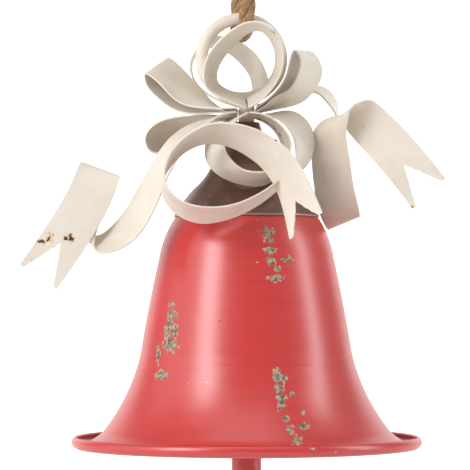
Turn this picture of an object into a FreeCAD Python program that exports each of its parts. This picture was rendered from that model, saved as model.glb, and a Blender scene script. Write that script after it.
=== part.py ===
"""Christmas bell ornament: a spun bell under a sheet-metal bow, hung on a rope.

Millimetres. +X is right, +Y is away from the front, +Z is up. The origin is the
hanging point: the underside of the rope's top bend, where a hook bears.
"""
import FreeCAD, Part
import math
import os
import Sketcher

from FreeCAD import Placement, Rotation, Vector

X_AXIS, Y_AXIS, Z_AXIS = Vector(1, 0, 0), Vector(0, 1, 0), Vector(0, 0, 1)

SIZES = [
    # rope and ring
    ("rope_dia", 8.0),
    ("rope_clear", 0.4),
    ("knot_dia", 22.0),
    ("ring_drop", 80.0),        # hanging point to the top of the ring
    ("ring_side", 2.5),         # the ring stands this far left of the bell's axis
    ("ring_outer", 46.2),
    ("ring_wire", 6.3),
    # bow
    ("ribbon_width", 22.0),
    ("ribbon_gauge", 0.9),
    ("collar_dia", 8.0),
    ("stack_height", 9.0),
    # stud through the middle and its hardware
    ("stud_dia", 6.0),
    ("stud_clear", 0.15),
    ("washer_dia", 18.0),
    ("washer_gauge", 1.5),
    ("nut_across", 10.0),
    ("nut_height", 5.0),
    ("stud_tail", 2.0),
    # cap
    ("cap_gauge", 1.0),
    ("cap_top_dia", 13.0),
    ("cap_neck_dia", 35.0),
    ("cap_neck_drop", 21.5),
    ("cap_swell_dia", 52.0),
    ("cap_swell_drop", 32.9),
    ("cap_seat", 0.4),
    # bell shell, radii of its outer surface and drops below its crown
    ("shell_gauge", 1.2),
    ("crown_flat_dia", 46.0),
    ("crown_drop", 42.6),       # cap's top to the bell's crown
    ("shoulder_dia", 71.0),
    ("shoulder_drop", 4.8),
    ("waist_dia", 87.4),
    ("waist_drop", 25.4),
    ("body_dia", 105.6),
    ("body_drop", 72.4),
    ("flare_dia", 144.6),
    ("flare_drop", 112.6),
    ("gutter_dia", 163.0),
    ("gutter_drop", 118.0),
    ("lip_dia", 172.4),
    ("lip_drop", 117.4),
    ("lip_edge_dia", 170.0),
    ("lip_edge_drop", 115.3),
    # clapper
    ("eye_wire", 3.0),
    ("eye_inner", 8.0),
    ("link_wire", 2.8),
    ("link_inner", 10.2),
    ("chain_clear", 0.05),
    ("rod_dia", 15.0),
    ("rod_length", 106.0),
    ("rod_neck_dia", 5.0),
    ("rod_taper", 6.0),
    ("ball_dia", 36.0),
    ("ball_seat_depth", 8.0),
]

# Each ribbon is a strip of constant width. A station is the middle of the strip,
# from the middle of the bow, and the direction across the strip, front to back.
# The strip is smooth between its stations, and its root stations come first.
RIBBONS = {
    "left_upper_loop": [
        ((-4.5, 0, -4.0), (0.05, 1, 0)),
        ((-14, 1.5, -3.5), (0.15, 0.98, 0.11)),
        ((-25, 3.5, -2.6), (0.27, 0.94, 0.22)),
        ((-33, 5.5, 1.2), (0.37, 0.87, 0.31)),
        ((-41.5, 6, 9.5), (0.46, 0.80, 0.40)),
        ((-45.4, 4.3, 16.3), (0.49, 0.76, 0.42)),
        ((-45.2, 3.4, 19.7), (0.50, 0.75, 0.43)),
        ((-42.4, 2.4, 18.4), (0.505, 0.755, 0.42)),
        ((-37, 1, 13.5), (0.51, 0.76, 0.40)),
        ((-30, 0.5, 6.0), (0.46, 0.79, 0.40)),
        ((-22, -1, 0.6), (0.33, 0.92, 0.22)),
        ((-13, -2, -2.2), (0.13, 0.99, 0.04)),
        ((-4.5, -2, -2.8), (0.05, 1, 0)),
    ],
    "right_upper_loop": [
        ((4.5, 0, -3.8), (-0.05, 1, 0)),
        ((11, -0.5, -1.6), (0.15, 0.98, -0.04)),
        ((18, -3, 1.3), (0.32, 0.93, -0.15)),
        ((24.5, -5, 4.0), (0.41, 0.91, -0.13)),
        ((29.3, -6.5, 9.5), (0.48, 0.88, -0.09)),
        ((32, -7.5, 16), (0.52, 0.85, -0.05)),
        ((31.5, -7.5, 22), (0.45, 0.89, 0.02)),
        ((27.5, -5.5, 26.4), (0.36, 0.93, 0.06)),
        ((25.3, -4.5, 20.5), (0.36, 0.93, 0.04)),
        ((22.5, -3.5, 11), (0.36, 0.93, -0.02)),
        ((14.5, -1, 2.9), (0.20, 0.98, -0.02)),
        ((4.5, 0.5, -2.4), (-0.04, 1, 0)),
    ],
    "front_top_loop": [
        ((-0.5, -14.2, -0.3), (-0.04, 0.95, 0.31)),
        ((-10, -15, 3.7), (0.09, 0.95, 0.28)),
        ((-17.3, -15.5, 9), (0.25, 0.95, 0.19)),
        ((-17.8, -16.2, 16), (0.29, 0.95, 0.08)),
        ((-13.5, -18.5, 25), (0.33, 0.94, 0)),
        ((-6, -21, 32.5), (0.27, 0.96, -0.05)),
        ((1, -23.2, 36.5), (0.09, 0.99, -0.11)),
        ((8.3, -23.4, 36.3), (-0.03, 1, -0.08)),
        ((14.8, -22, 28.5), (-0.13, 0.99, -0.04)),
        ((16.5, -20, 20), (-0.13, 0.99, 0.04)),
        ((13.5, -17.5, 10.5), (-0.11, 0.99, 0.11)),
        ((7.5, -15.2, 4), (-0.06, 0.97, 0.23)),
        ((0.5, -14.2, -0.2), (-0.04, 0.95, 0.30)),
    ],
    "rear_top_loop": [
        ((-0.2, 15, -0.2), (-0.09, 0.98, 0.15)),
        ((5.2, 15.3, 4.6), (-0.22, 0.97, 0.12)),
        ((6.9, 16.2, 11.5), (-0.35, 0.93, 0.05)),
        ((5, 17.2, 18.5), (-0.34, 0.94, -0.08)),
        ((-1.5, 19, 27), (-0.34, 0.93, -0.13)),
        ((-7, 20, 31), (-0.25, 0.95, -0.17)),
        ((-14, 20, 33.4), (-0.25, 0.96, -0.16)),
        ((-21, 19, 31.8), (-0.15, 0.96, -0.23)),
        ((-27, 19.5, 25), (-0.04, 0.99, -0.09)),
        ((-28, 21, 19), (0.03, 1, -0.07)),
        ((-25.5, 21.5, 12.5), (0.04, 1, 0.01)),
        ((-18.5, 20, 6), (0.06, 1, 0.05)),
        ((-3, 15, 0), (-0.07, 0.99, 0.13)),
    ],
    "left_lower_loop": [
        ((-4.5, 11.5, -6.4), (0, 1, 0)),
        ((-18, 11.5, -6.2), (0.12, 0.98, -0.08)),
        ((-29, 11.5, -8), (0.26, 0.94, -0.19)),
        ((-36.5, 10, -10.3), (0.37, 0.88, -0.27)),
        ((-42.5, 10, -14), (0.45, 0.85, -0.27)),
        ((-45.8, 10, -19.5), (0.46, 0.87, -0.16)),
        ((-43.5, 11, -24), (0.41, 0.91, -0.05)),
        ((-35.5, 12, -21.5), (0.30, 0.95, 0.02)),
        ((-24, 12.5, -15), (0.14, 0.99, 0.02)),
        ((-13, 11.5, -9.2), (0.03, 1, 0.01)),
        ((-4.5, 11.5, -7.6), (0, 1, 0)),
    ],
    "front_lower_loop": [
        ((0.5, -17.5, -5.9), (-0.08, 1, -0.02)),
        ((9, -18, -8.2), (-0.08, 0.99, -0.07)),
        ((15.3, -18, -12.8), (-0.14, 0.99, -0.05)),
        ((19.2, -21, -19.5), (-0.16, 0.98, -0.10)),
        ((18.8, -26, -29), (-0.20, 0.94, -0.25)),
        ((13, -33, -36.8), (-0.24, 0.91, -0.32)),
        ((3.5, -38, -38.8), (-0.24, 0.93, -0.26)),
        ((-5, -37.5, -37), (-0.31, 0.93, -0.20)),
        ((-11.5, -34.5, -32.5), (-0.38, 0.90, -0.20)),
        ((-15.2, -30, -27), (-0.41, 0.89, -0.18)),
        ((-15.6, -25.5, -20.8), (-0.42, 0.90, -0.10)),
        ((-12.8, -21, -14.8), (-0.39, 0.92, -0.03)),
        ((-7.2, -19, -9.2), (-0.25, 0.97, 0)),
        ((-0.6, -17.7, -6.0), (-0.10, 0.99, -0.01)),
    ],
    "front_tail": [
        ((4.5, 1, -5.3), (0.0, 1, 0.0)),
        ((12, -2.5, -5.0), (0.20, 0.97, 0.12)),
        ((19, -6, -5.8), (0.34, 0.91, 0.24)),
        ((25.2, -9, -10.5), (0.43, 0.87, 0.26)),
        ((28.4, -14.5, -18), (0.46, 0.87, 0.10)),
        ((27.7, -20.5, -26), (0.34, 0.91, -0.20)),
        ((24.6, -27, -32.2), (0.07, 0.95, -0.28)),
        ((19.2, -36, -37.8), (-0.20, 0.88, -0.40)),
        ((12.4, -44, -44), (-0.42, 0.74, -0.52)),
        ((4.3, -49, -49.8), (-0.55, 0.65, -0.52)),
        ((-4.5, -52, -54), (-0.58, 0.67, -0.46)),
        ((-13, -53, -56.4), (-0.55, 0.73, -0.38)),
        ((-21.5, -55, -56.6), (-0.47, 0.83, -0.28)),
        ((-29.5, -56, -54.6), (-0.35, 0.92, -0.18)),
        ((-36, -56, -50.3), (-0.22, 0.97, -0.12)),
        ((-39.8, -56, -43.6), (-0.11, 0.98, -0.12)),
        ((-39.8, -55, -36.5), (-0.06, 0.97, -0.20)),
        ((-36, -53.5, -29), (-0.05, 0.95, -0.30)),
        ((-28.3, -52, -21.8), (-0.04, 0.95, -0.32)),
        ((-18.5, -51, -17.8), (-0.06, 0.92, -0.38)),
        ((-7, -52, -18.5), (-0.13, 0.88, -0.45)),
        ((4, -54, -23), (-0.27, 0.81, -0.51)),
        ((12.3, -56.5, -29.2), (-0.40, 0.77, -0.49)),
        ((18.8, -57.5, -37.5), (-0.50, 0.73, -0.46)),
        ((23.8, -58.5, -48.5), (-0.58, 0.66, -0.47)),
        ((28.2, -61, -62.5), (-0.70, 0.42, -0.58)),
    ],
    "left_tail": [
        ((-4.8, -9.9, -5.3), (0.03, 1, 0)),
        ((-13, -14.2, -6.7), (-0.02, 1, 0.02)),
        ((-20, -15.5, -9.6), (-0.10, 0.98, 0.14)),
        ((-27, -18, -14.8), (-0.22, 0.92, 0.31)),
        ((-35, -21, -22), (-0.33, 0.88, 0.33)),
        ((-40.2, -23, -29.5), (-0.40, 0.88, 0.25)),
        ((-44.6, -24, -37.8), (-0.47, 0.86, 0.19)),
        ((-49.2, -25, -47.5), (-0.54, 0.82, 0.18)),
        ((-55.5, -26, -58.8), (-0.54, 0.79, 0.29)),
        ((-64.5, -26, -67.8), (-0.36, 0.83, 0.42)),
        ((-74.5, -22.5, -70.4), (-0.16, 0.91, 0.38)),
        ((-80.6, -16, -64), (-0.58, 0.79, 0.18)),
        ((-78.5, -11, -51), (-0.86, 0.50, 0.10)),
        ((-74, -10, -38.5), (-0.89, 0.36, 0.28)),
        ((-72.4, -14, -33.2), (-0.90, 0.28, 0.33)),
        ((-74.5, -19.5, -39.5), (-0.92, 0.10, 0.38)),
        ((-81, -24.5, -54), (-0.90, 0.04, 0.43)),
        ((-90, -28, -69), (-0.87, 0.02, 0.49)),
        ((-102, -31, -86.5), (-0.84, 0, 0.54)),
    ],
    "right_tail": [
        ((5.2, 10, -0.4), (0.0, 1, 0)),
        ((11, 17, 2.4), (0.07, 0.99, 0.06)),
        ((17, 22.5, 4.6), (0.12, 0.98, 0.14)),
        ((28, 18.5, 7.4), (0.16, 0.96, 0.22)),
        ((36, 17.5, 9), (0.14, 0.96, 0.22)),
        ((42, 18.5, 5), (0.19, 0.96, 0.21)),
        ((46, 20.5, -4), (0.05, 0.99, 0.10)),
        ((45, 22, -16), (-0.28, 0.96, 0.02)),
        ((42.5, 22, -29), (-0.60, 0.80, -0.08)),
        ((43.5, 19, -42), (-0.76, 0.63, -0.14)),
        ((46.5, 12, -53.5), (-0.76, 0.60, -0.25)),
        ((48.8, 3.5, -59), (-0.71, 0.64, -0.29)),
        ((46.2, -2.5, -51), (-0.80, 0.56, -0.20)),
        ((43.2, -5, -39), (-0.85, 0.51, -0.12)),
        ((41.9, -6.8, -28.5), (-0.83, 0.55, -0.05)),
        ((41, -7.4, -20), (-0.77, 0.63, -0.01)),
        ((42, -10, -12), (-0.66, 0.75, 0.02)),
        ((45.8, -11.8, -7.2), (-0.38, 0.92, 0.03)),
        ((51, -12.5, -4.6), (-0.16, 0.95, -0.25)),
        ((54.4, -12.5, -5.4), (-0.42, 0.70, -0.57)),
        ((59.8, -12.5, -9.8), (-0.58, 0.40, -0.71)),
        ((69, -14.5, -19.5), (-0.64, 0.25, -0.73)),
        ((78, -17.5, -30), (-0.70, 0.12, -0.70)),
        ((89.8, -22, -45.5), (-0.73, 0.05, -0.68)),
    ],
}

# Swallowtails: the depth of the notch and how far it lies from the strip's middle,
# towards the back edge.
SWALLOWTAILS = {
    "front_tail": (14.0, 1.5),
    "left_tail": (20.0, 0.5),
    "right_tail": (19.5, 1.0),
}
PRONG_TIP = 2.2
NOTCH_REACH = 30.0
FRAMES_PER_STATION = 4

# The rope's route: down from the knot, under the ring's top bar, up the front, over
# the hook and back to the knot. It starts and ends straight up and down.
ROPE_ROUTE = [
    (-3.6, 9.0, -58.3),
    (-3.6, 9.0, -74.0),
    (-4.6, 7.6, -91.0),
    (-0.2, -7.6, -91.0),
    (0.6, -8.2, -75.0),
    (1.2, -9.6, -47.0),
    (0.4, -11.6, -17.0),
    (0.0, -12.0, 4.0),
    (0.0, 12.0, 4.0),
    (-1.4, 11.4, -12.5),
    (-3.6, 9.0, -25.5),
    (-3.6, 9.0, -37.7),
]
KNOT_AT = (-3.6, 9.0, -48.0)

doc = FreeCAD.newDocument("christmas_bell_ornament")
sheet = doc.addObject("Spreadsheet::Sheet", "sizes")
nodes = []


def fill_sheet():
    """Write each driving size to the sheet, with its name as the alias."""
    for row, (name, value) in enumerate(SIZES, start=1):
        sheet.set(f"A{row}", name)
        sheet.set(f"B{row}", repr(value))
        sheet.setAlias(f"B{row}", name)
    doc.recompute()


def size(name):
    return float(getattr(sheet, name))


def bind(thing, **expressions):
    """Bind properties of an object to expressions of the sheet's names."""
    for prop, expression in expressions.items():
        thing.setExpression(prop.replace("_at_", "."), expression)


def keep(thing, label):
    """Name an object as one sub-part of the ornament."""
    thing.Label = label
    nodes.append(thing)
    return thing


# Heights, as expressions, from the hanging point down.
RING_LOW = "-(sizes.ring_drop + sizes.ring_outer)"
RING_RADIUS = "(sizes.ring_outer - sizes.ring_wire) / 2"
CAP_TOP = f"{RING_LOW} - sizes.stack_height"
CROWN = f"{CAP_TOP} - sizes.crown_drop"
WASHER_TOP = f"{CROWN} - sizes.shell_gauge"
NUT_TOP = f"{WASHER_TOP} - sizes.washer_gauge"
STUD_LOW = f"{NUT_TOP} - sizes.nut_height - sizes.stud_tail"
EYE_RADIUS = "(sizes.eye_inner + sizes.eye_wire) / 2"
LINK_RADIUS = "(sizes.link_inner + sizes.link_wire) / 2"
EYE_CENTRE = f"{STUD_LOW} - {EYE_RADIUS}"
LINK_PIVOT = (f"{EYE_CENTRE} - {EYE_RADIUS} + sizes.eye_wire / 2"
              " + sizes.link_wire / 2 + sizes.chain_clear")
LINK_CENTRE = f"{LINK_PIVOT} - {LINK_RADIUS}"
CLAPPER_PIVOT = (f"{LINK_CENTRE} - {LINK_RADIUS} + sizes.link_wire / 2"
                 " + sizes.eye_wire / 2 + sizes.chain_clear")
HOOK_CENTRE = f"{CLAPPER_PIVOT} - {EYE_RADIUS}"
ROD_TOP = f"{HOOK_CENTRE} - {EYE_RADIUS}"
ROD_LOW = f"{ROD_TOP} - sizes.rod_length"
BALL_CENTRE = f"{ROD_LOW} + sizes.ball_seat_depth - sizes.ball_dia / 2"


def evaluate(expression):
    """The value of an expression of the sheet's names."""
    return float(sheet.evalExpression(expression))


def origin_plane(body, role):
    return next(f for f in body.Origin.OriginFeatures if f.Role == role)


def middle_of_arc(start, end, bulge):
    """The middle of an arc: its rise is this share of its chord, to the left."""
    side = end - start
    return (start + end) * 0.5 + Vector(-side.y, side.x, 0) * bulge


def arc_radius(corners, i, bulge):
    """Radius of a side's arc from its chord c and bulge b: c (1/4 + b^2) / (2 |b|)."""
    (r1, h1), (r2, h2) = corners[i], corners[(i + 1) % len(corners)]
    share = (0.25 + bulge ** 2) / (2 * abs(bulge))
    chord = f"sqrt((({r2}) - ({r1})) ^ 2 + (({h2}) - ({h1})) ^ 2)"
    return f"{share} * {chord}"


def bind_corner(sketch, geometry, point, radius, height):
    """Hold a corner at its radius and height from the sketch's origin."""
    for kind, expression in (("DistanceX", radius), ("DistanceY", height)):
        value = evaluate(expression)
        if abs(value) < 1e-9:
            axis = -2 if kind == "DistanceX" else -1
            sketch.addConstraint(Sketcher.Constraint("PointOnObject", geometry, point, axis))
        else:
            number = sketch.addConstraint(
                Sketcher.Constraint(kind, -1, 1, geometry, point, value))
            sketch.setExpression(f"Constraints[{number}]", expression)


def turned_body(label, corners, arcs=None):
    """Turn a closed outline of (radius, height) expressions about the Z axis.

    arcs gives the bulge of each side that isn't straight, by the side's number. An
    arc in a sketch runs anticlockwise, so one that bulges left is drawn backwards.
    """
    arcs = arcs or {}
    body = doc.addObject("PartDesign::Body", label + "_body")
    sketch = body.newObject("Sketcher::SketchObject", label + "_outline")
    sketch.AttachmentSupport = [(origin_plane(body, "XZ_Plane"), "")]
    sketch.MapMode = "FlatFace"
    points = [Vector(evaluate(radius), evaluate(height), 0) for radius, height in corners]
    count = len(points)
    firsts, lasts = [], []
    for i, start in enumerate(points):
        end = points[(i + 1) % count]
        bulge = arcs.get(i, 0)
        if bulge == 0:
            side = Part.LineSegment(start, end)
        elif bulge < 0:
            side = Part.Arc(start, middle_of_arc(start, end, bulge), end)
        else:
            side = Part.Arc(end, middle_of_arc(start, end, bulge), start)
        sketch.addGeometry(side, False)
        firsts.append(2 if bulge > 0 else 1)
        lasts.append(1 if bulge > 0 else 2)
    for i in range(count):
        follower = (i + 1) % count
        sketch.addConstraint(
            Sketcher.Constraint("Coincident", i, lasts[i], follower, firsts[follower]))
    for i, (radius, height) in enumerate(corners):
        bind_corner(sketch, i, firsts[i], radius, height)
    for i, bulge in arcs.items():
        number = sketch.addConstraint(
            Sketcher.Constraint("Radius", i, sketch.Geometry[i].Radius))
        sketch.setExpression(f"Constraints[{number}]", arc_radius(corners, i, bulge))
    turn = body.newObject("PartDesign::Revolution", label + "_turn")
    turn.Profile = sketch
    turn.ReferenceAxis = (sketch, ["V_Axis"])
    turn.Angle = 360
    return keep(body, label)


def turn_tangent(side, bulge, at_end):
    """The direction of a side at one of its ends."""
    swing = 2 * math.atan(2 * bulge) * (-1 if at_end else 1)
    return Rotation(Z_AXIS, math.degrees(swing)).multVec(side).normalize()


def sheet_wall(outer, bulges, gauge):
    """Close an open outline of a sheet-metal wall, with its thickness to the right.

    Each inner corner lies one gauge from its outer corner, square to the mean of
    the directions of the two sides that meet there.
    """
    points = [Vector(evaluate(radius), evaluate(height), 0) for radius, height in outer]
    inner = []
    for i, (radius, height) in enumerate(outer):
        along = Vector()
        if i > 0:
            along += turn_tangent(points[i] - points[i - 1], bulges.get(i - 1, 0), True)
        if i < len(points) - 1:
            along += turn_tangent(points[i + 1] - points[i], bulges.get(i, 0), False)
        along.normalize()
        inner.append((f"({radius}) + ({along.y}) * {gauge}",
                      f"({height}) - ({along.x}) * {gauge}"))
    last = 2 * len(outer) - 2
    arcs = dict(bulges)
    for i, bulge in bulges.items():
        arcs[last - i] = -bulge
    return outer + inner[::-1], arcs


def make_bell_shell():
    """One spun sheet: flat crown, shoulder, waist, flare and a rolled gutter rim."""
    def at(dia, drop):
        return f"sizes.{dia} / 2", f"{CROWN} - sizes.{drop}"

    outer = [
        (STUD_HOLE, CROWN),
        ("sizes.crown_flat_dia / 2", CROWN),
        at("shoulder_dia", "shoulder_drop"),
        at("waist_dia", "waist_drop"),
        at("body_dia", "body_drop"),
        at("flare_dia", "flare_drop"),
        at("gutter_dia", "gutter_drop"),
        at("lip_dia", "lip_drop"),
        at("lip_edge_dia", "lip_edge_drop"),
    ]
    bulges = {1: 0.14, 2: 0.055, 3: 0.008, 4: -0.058, 5: -0.05, 6: -0.33, 7: -0.15}
    turned_body("bell_shell", *sheet_wall(outer, bulges, "sizes.shell_gauge"))


def make_crown_cap():
    """A flared cap whose foot sits on the bell's shoulder."""
    outer = [
        (STUD_HOLE, CAP_TOP),
        ("sizes.cap_top_dia / 2", CAP_TOP),
        ("sizes.cap_neck_dia / 2", f"{CAP_TOP} - sizes.cap_neck_drop"),
        ("sizes.cap_swell_dia / 2", f"{CAP_TOP} - sizes.cap_swell_drop"),
        ("sizes.shoulder_dia / 2 + sizes.cap_gauge",
         f"{CROWN} - sizes.shoulder_drop + sizes.cap_seat"),
    ]
    bulges = {1: -0.05, 2: -0.06, 3: 0.03}
    turned_body("crown_cap", *sheet_wall(outer, bulges, "sizes.cap_gauge"))


def make_sleeve(label, outer_radius, top, low):
    """A plain ring of metal round the stud."""
    turned_body(label, [(STUD_HOLE, top), (outer_radius, top),
                        (outer_radius, low), (STUD_HOLE, low)])


def cylinder(name, radius, height, low, side="0"):
    """A cylinder about Z, which stands on the given height."""
    shape = doc.addObject("Part::Cylinder", name)
    bind(shape, Radius=radius, Height=height, Placement_at_Base_at_z=low,
         Placement_at_Base_at_x=side)
    return shape


def torus(name, radius, wire, height, turn, side="0"):
    """A round bar bent to a ring, which stands upright at the given height."""
    shape = doc.addObject("Part::Torus", name)
    shape.Placement = Placement(Vector(), turn)
    bind(shape, Radius1=radius, Radius2=f"{wire} / 2", Placement_at_Base_at_z=height,
         Placement_at_Base_at_x=side)
    return shape


def cut(label, base, tool):
    """The base without the tool, as one sub-part."""
    shape = doc.addObject("Part::Cut", label + "_cut")
    shape.Base = base
    shape.Tool = tool
    return keep(shape, label)


def make_stud():
    """The threaded rod, from the middle of the ring's low bar to the clapper's eye."""
    length = f"({RING_LOW}) + sizes.ring_wire / 2 - ({STUD_LOW})"
    keep(cylinder("stud_bar", "sizes.stud_dia / 2", length, STUD_LOW), "stud")


def make_hanging_ring():
    """The ring, notched where the stud's end is welded into its low bar."""
    bar = torus("ring_bar", RING_RADIUS, "sizes.ring_wire",
                f"{RING_LOW} + sizes.ring_outer / 2", FACING_FRONT, "-sizes.ring_side")
    seat = cylinder("ring_seat", "sizes.stud_dia / 2", "sizes.ring_wire",
                    f"{RING_LOW} - sizes.ring_wire / 2")
    cut("hanging_ring", bar, seat)


def make_crown_nut():
    """A six-sided nut on the stud."""
    block = doc.addObject("Part::Prism", "nut_block")
    block.Polygon = 6
    bind(block, Circumradius="sizes.nut_across / sqrt(3)", Height="sizes.nut_height",
         Placement_at_Base_at_z=f"{NUT_TOP} - sizes.nut_height")
    bore = cylinder("nut_bore", STUD_HOLE, "sizes.nut_height * 2",
                    f"{NUT_TOP} - sizes.nut_height * 1.5")
    cut("crown_nut", block, bore)


def make_clapper_chain():
    """The eye under the stud, the link in it, and the eye on the clapper's rod."""
    eye = torus("eye_bar", EYE_RADIUS, "sizes.eye_wire", EYE_CENTRE, FACING_FRONT)
    eye_seat = cylinder("eye_seat", "sizes.stud_dia / 2", "sizes.eye_wire", STUD_LOW)
    cut("clapper_eye", eye, eye_seat)
    link = torus("link_bar", LINK_RADIUS, "sizes.link_wire", LINK_CENTRE, FACING_SIDE)
    keep(link, "clapper_link")
    hook = torus("hook_bar", EYE_RADIUS, "sizes.eye_wire", HOOK_CENTRE, FACING_FRONT)
    hook_seat = cylinder("hook_seat", "sizes.rod_dia / 2", "sizes.eye_wire",
                         f"{ROD_TOP} - sizes.eye_wire")
    cut("clapper_hook", hook, hook_seat)


def make_clapper():
    """The rod, with a short taper at its neck, and the ball on its foot."""
    turned_body("clapper_rod", [
        ("0", ROD_TOP),
        ("sizes.rod_neck_dia / 2", ROD_TOP),
        ("sizes.rod_dia / 2", f"{ROD_TOP} - sizes.rod_taper"),
        ("sizes.rod_dia / 2", ROD_LOW),
        ("0", ROD_LOW),
    ], {1: 0.12})
    ball = doc.addObject("Part::Sphere", "ball_block")
    bind(ball, Radius="sizes.ball_dia / 2", Placement_at_Base_at_z=BALL_CENTRE)
    socket = cylinder("ball_socket", "sizes.rod_dia / 2", "sizes.ball_dia", ROD_LOW)
    cut("clapper_ball", ball, socket)


def curve_through(points, pace):
    """The cubic curve that passes each point at its own parameter."""
    curve = Part.BSplineCurve()
    curve.interpolate(Points=points, Parameters=pace)
    return curve


def ribbon_frames(name):
    """Middle, direction across, direction along and normal, close together along a strip."""
    bow = Vector(0, 0, evaluate(RING_LOW))
    stations = [bow + Vector(*middle) for middle, across in RIBBONS[name]]
    turns = [Vector(*across).normalize() for middle, across in RIBBONS[name]]
    reach = [0.0]
    for before, after in zip(stations, stations[1:]):
        reach.append(reach[-1] + (after - before).Length)
    path, turning = curve_through(stations, reach), curve_through(turns, reach)
    pace = [reach[0]]
    for before, after in zip(reach, reach[1:]):
        pace += [before + (after - before) * step / FRAMES_PER_STATION
                 for step in range(1, FRAMES_PER_STATION + 1)]
    middles = [path.value(u) for u in pace]
    acrosses = [Vector(*turning.value(u)).normalize() for u in pace]
    alongs = [Vector(*path.tangent(u)[0]).normalize() for u in pace]
    normals = [along.cross(across).normalize() for along, across in zip(alongs, acrosses)]
    return middles, acrosses, alongs, normals, pace


def ribbon_solid(name):
    """A strip between two edge curves, half its gauge to each side of its middle.

    Each edge has its own normal, square to the edge and to the direction across, so
    that the strip keeps its gauge where one edge turns more than the other.
    """
    middles, acrosses, alongs, normals, pace = ribbon_frames(name)
    half_width, half_gauge = size("ribbon_width") / 2, size("ribbon_gauge") / 2
    edges = {}
    for side in (-1, 1):
        points = [middle + across * (side * half_width)
                  for middle, across in zip(middles, acrosses)]
        edge = curve_through(points, pace)
        offsets = [Vector(*edge.tangent(u)[0]).cross(across).normalize() * half_gauge
                   for u, across in zip(pace, acrosses)]
        for face in (-1, 1):
            edges[side, face] = curve_through(
                [point + offset * face for point, offset in zip(points, offsets)], pace)
    ring = [edges[corner].toShape() for corner in ((-1, -1), (1, -1), (1, 1), (-1, 1))]
    faces = [Part.makeRuledSurface(one, other, 1) for one, other in zip(ring, ring[1:] + ring[:1])]
    for end in (0, -1):
        corners = [edge.Vertexes[end].Point for edge in ring]
        faces.append(Part.makeFilledFace(Part.makePolygon(corners + corners[:1]).Edges))
    shell = Part.makeShell(faces)
    shell.sewShape()
    solid = Part.makeSolid(shell)
    if solid.Volume < 0:
        solid.reverse()
    return solid


def swallowtail_notch(name):
    """The wedge that is cut from a strip's end: it leaves two blunt prongs."""
    depth, offset = SWALLOWTAILS[name]
    middles, acrosses, alongs, normals, pace = ribbon_frames(name)
    end, across, along, normal = middles[-1], acrosses[-1], alongs[-1], normals[-1]
    apex = end - along * depth + across * offset
    prong = size("ribbon_width") / 2 - PRONG_TIP
    low, high = end - across * prong, end + across * prong
    beyond = along * depth
    corners = [apex, low, low + beyond, high + beyond, high, apex]
    face = Part.Face(Part.makePolygon([corner - normal * NOTCH_REACH for corner in corners]))
    return face.extrude(normal * (2 * NOTCH_REACH))


def make_ribbon(name):
    shape = ribbon_solid(name)
    if name in SWALLOWTAILS:
        shape = shape.cut(swallowtail_notch(name))
    ribbon = doc.addObject("Part::Feature", name + "_strip")
    ribbon.Shape = shape
    keep(ribbon, name)


def rope_path(route):
    """Straight runs with tangent arcs, each as large as its two runs allow."""
    points = [Vector(*point) for point in route]
    edges, start, radii = [], points[0], []
    for before, corner, after in zip(points, points[1:], points[2:]):
        back, ahead = before - corner, after - corner
        turn = math.pi - back.getAngle(ahead)
        reach = 0.45 * min(back.Length, ahead.Length)
        radii.append(reach / math.tan(turn / 2))
        first = corner + back.normalize() * reach
        last = corner + ahead.normalize() * reach
        towards_centre = (back + ahead).normalize()
        rise = radii[-1] / math.cos(turn / 2) - radii[-1]
        edges.append(Part.LineSegment(start, first).toShape())
        edges.append(Part.Arc(first, corner + towards_centre * rise, last).toShape())
        start = last
    edges.append(Part.LineSegment(start, points[-1]).toShape())
    print("rope arc radii, mm:", [round(radius, 1) for radius in radii])
    return Part.Wire(edges)


def make_rope():
    """The rope's tube, and the knot that closes its loop."""
    path = rope_path(ROPE_ROUTE)
    radius = size("rope_dia") / 2
    start = Vector(*ROPE_ROUTE[0])
    section = Part.Wire(Part.makeCircle(radius, start, Z_AXIS))
    tube = path.makePipeShell([section], True, False)
    expected = math.pi * radius ** 2 * path.Length
    print(f"rope length {path.Length:.1f} mm, volume {tube.Volume:.0f} of {expected:.0f} mm3")
    rope = doc.addObject("Part::Feature", "rope_tube")
    rope.Shape = tube
    keep(rope, "rope")
    knot = doc.addObject("Part::Sphere", "knot_ball")
    flat = "acos(sizes.rope_dia / sizes.knot_dia)"
    bind(knot, Radius="sizes.knot_dia / 2", Angle1=f"-{flat}", Angle2=flat)
    knot.Placement.Base = Vector(*KNOT_AT)
    keep(knot, "rope_knot")


def check_and_export():
    """Stop if any object failed, then write each sub-part to its own file."""
    doc.recompute()
    for thing in doc.Objects:
        if "Invalid" in thing.State or "Error" in thing.State:
            raise RuntimeError(f"{thing.Name} failed: {thing.State}")
    for node in nodes:
        if node.Shape.isNull() or not node.Shape.isValid() or node.Shape.Volume <= 0:
            raise RuntimeError(f"{node.Label} has no valid solid")
    os.makedirs("parts", exist_ok=True)
    for node in nodes:
        node.Shape.exportStep(f"parts/{node.Label}.step")
        print(f"{node.Label:18} {len(node.Shape.Solids)} solid, {node.Shape.Volume:9.1f} mm3")


FACING_FRONT = Rotation(X_AXIS, 90)
FACING_SIDE = Rotation(Y_AXIS, 90)
STUD_HOLE = "sizes.stud_dia / 2 + sizes.stud_clear"

fill_sheet()
make_rope()
make_hanging_ring()
for ribbon_name in RIBBONS:
    make_ribbon(ribbon_name)
make_sleeve("bow_collar", "sizes.collar_dia / 2", RING_LOW, CAP_TOP)
make_crown_cap()
make_bell_shell()
make_stud()
make_sleeve("crown_washer", "sizes.washer_dia / 2", WASHER_TOP, NUT_TOP)
make_crown_nut()
make_clapper_chain()
make_clapper()
print("link pivot height, mm:", round(evaluate(LINK_PIVOT), 3))
print("clapper pivot height, mm:", round(evaluate(CLAPPER_PIVOT), 3))
check_and_export()
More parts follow.
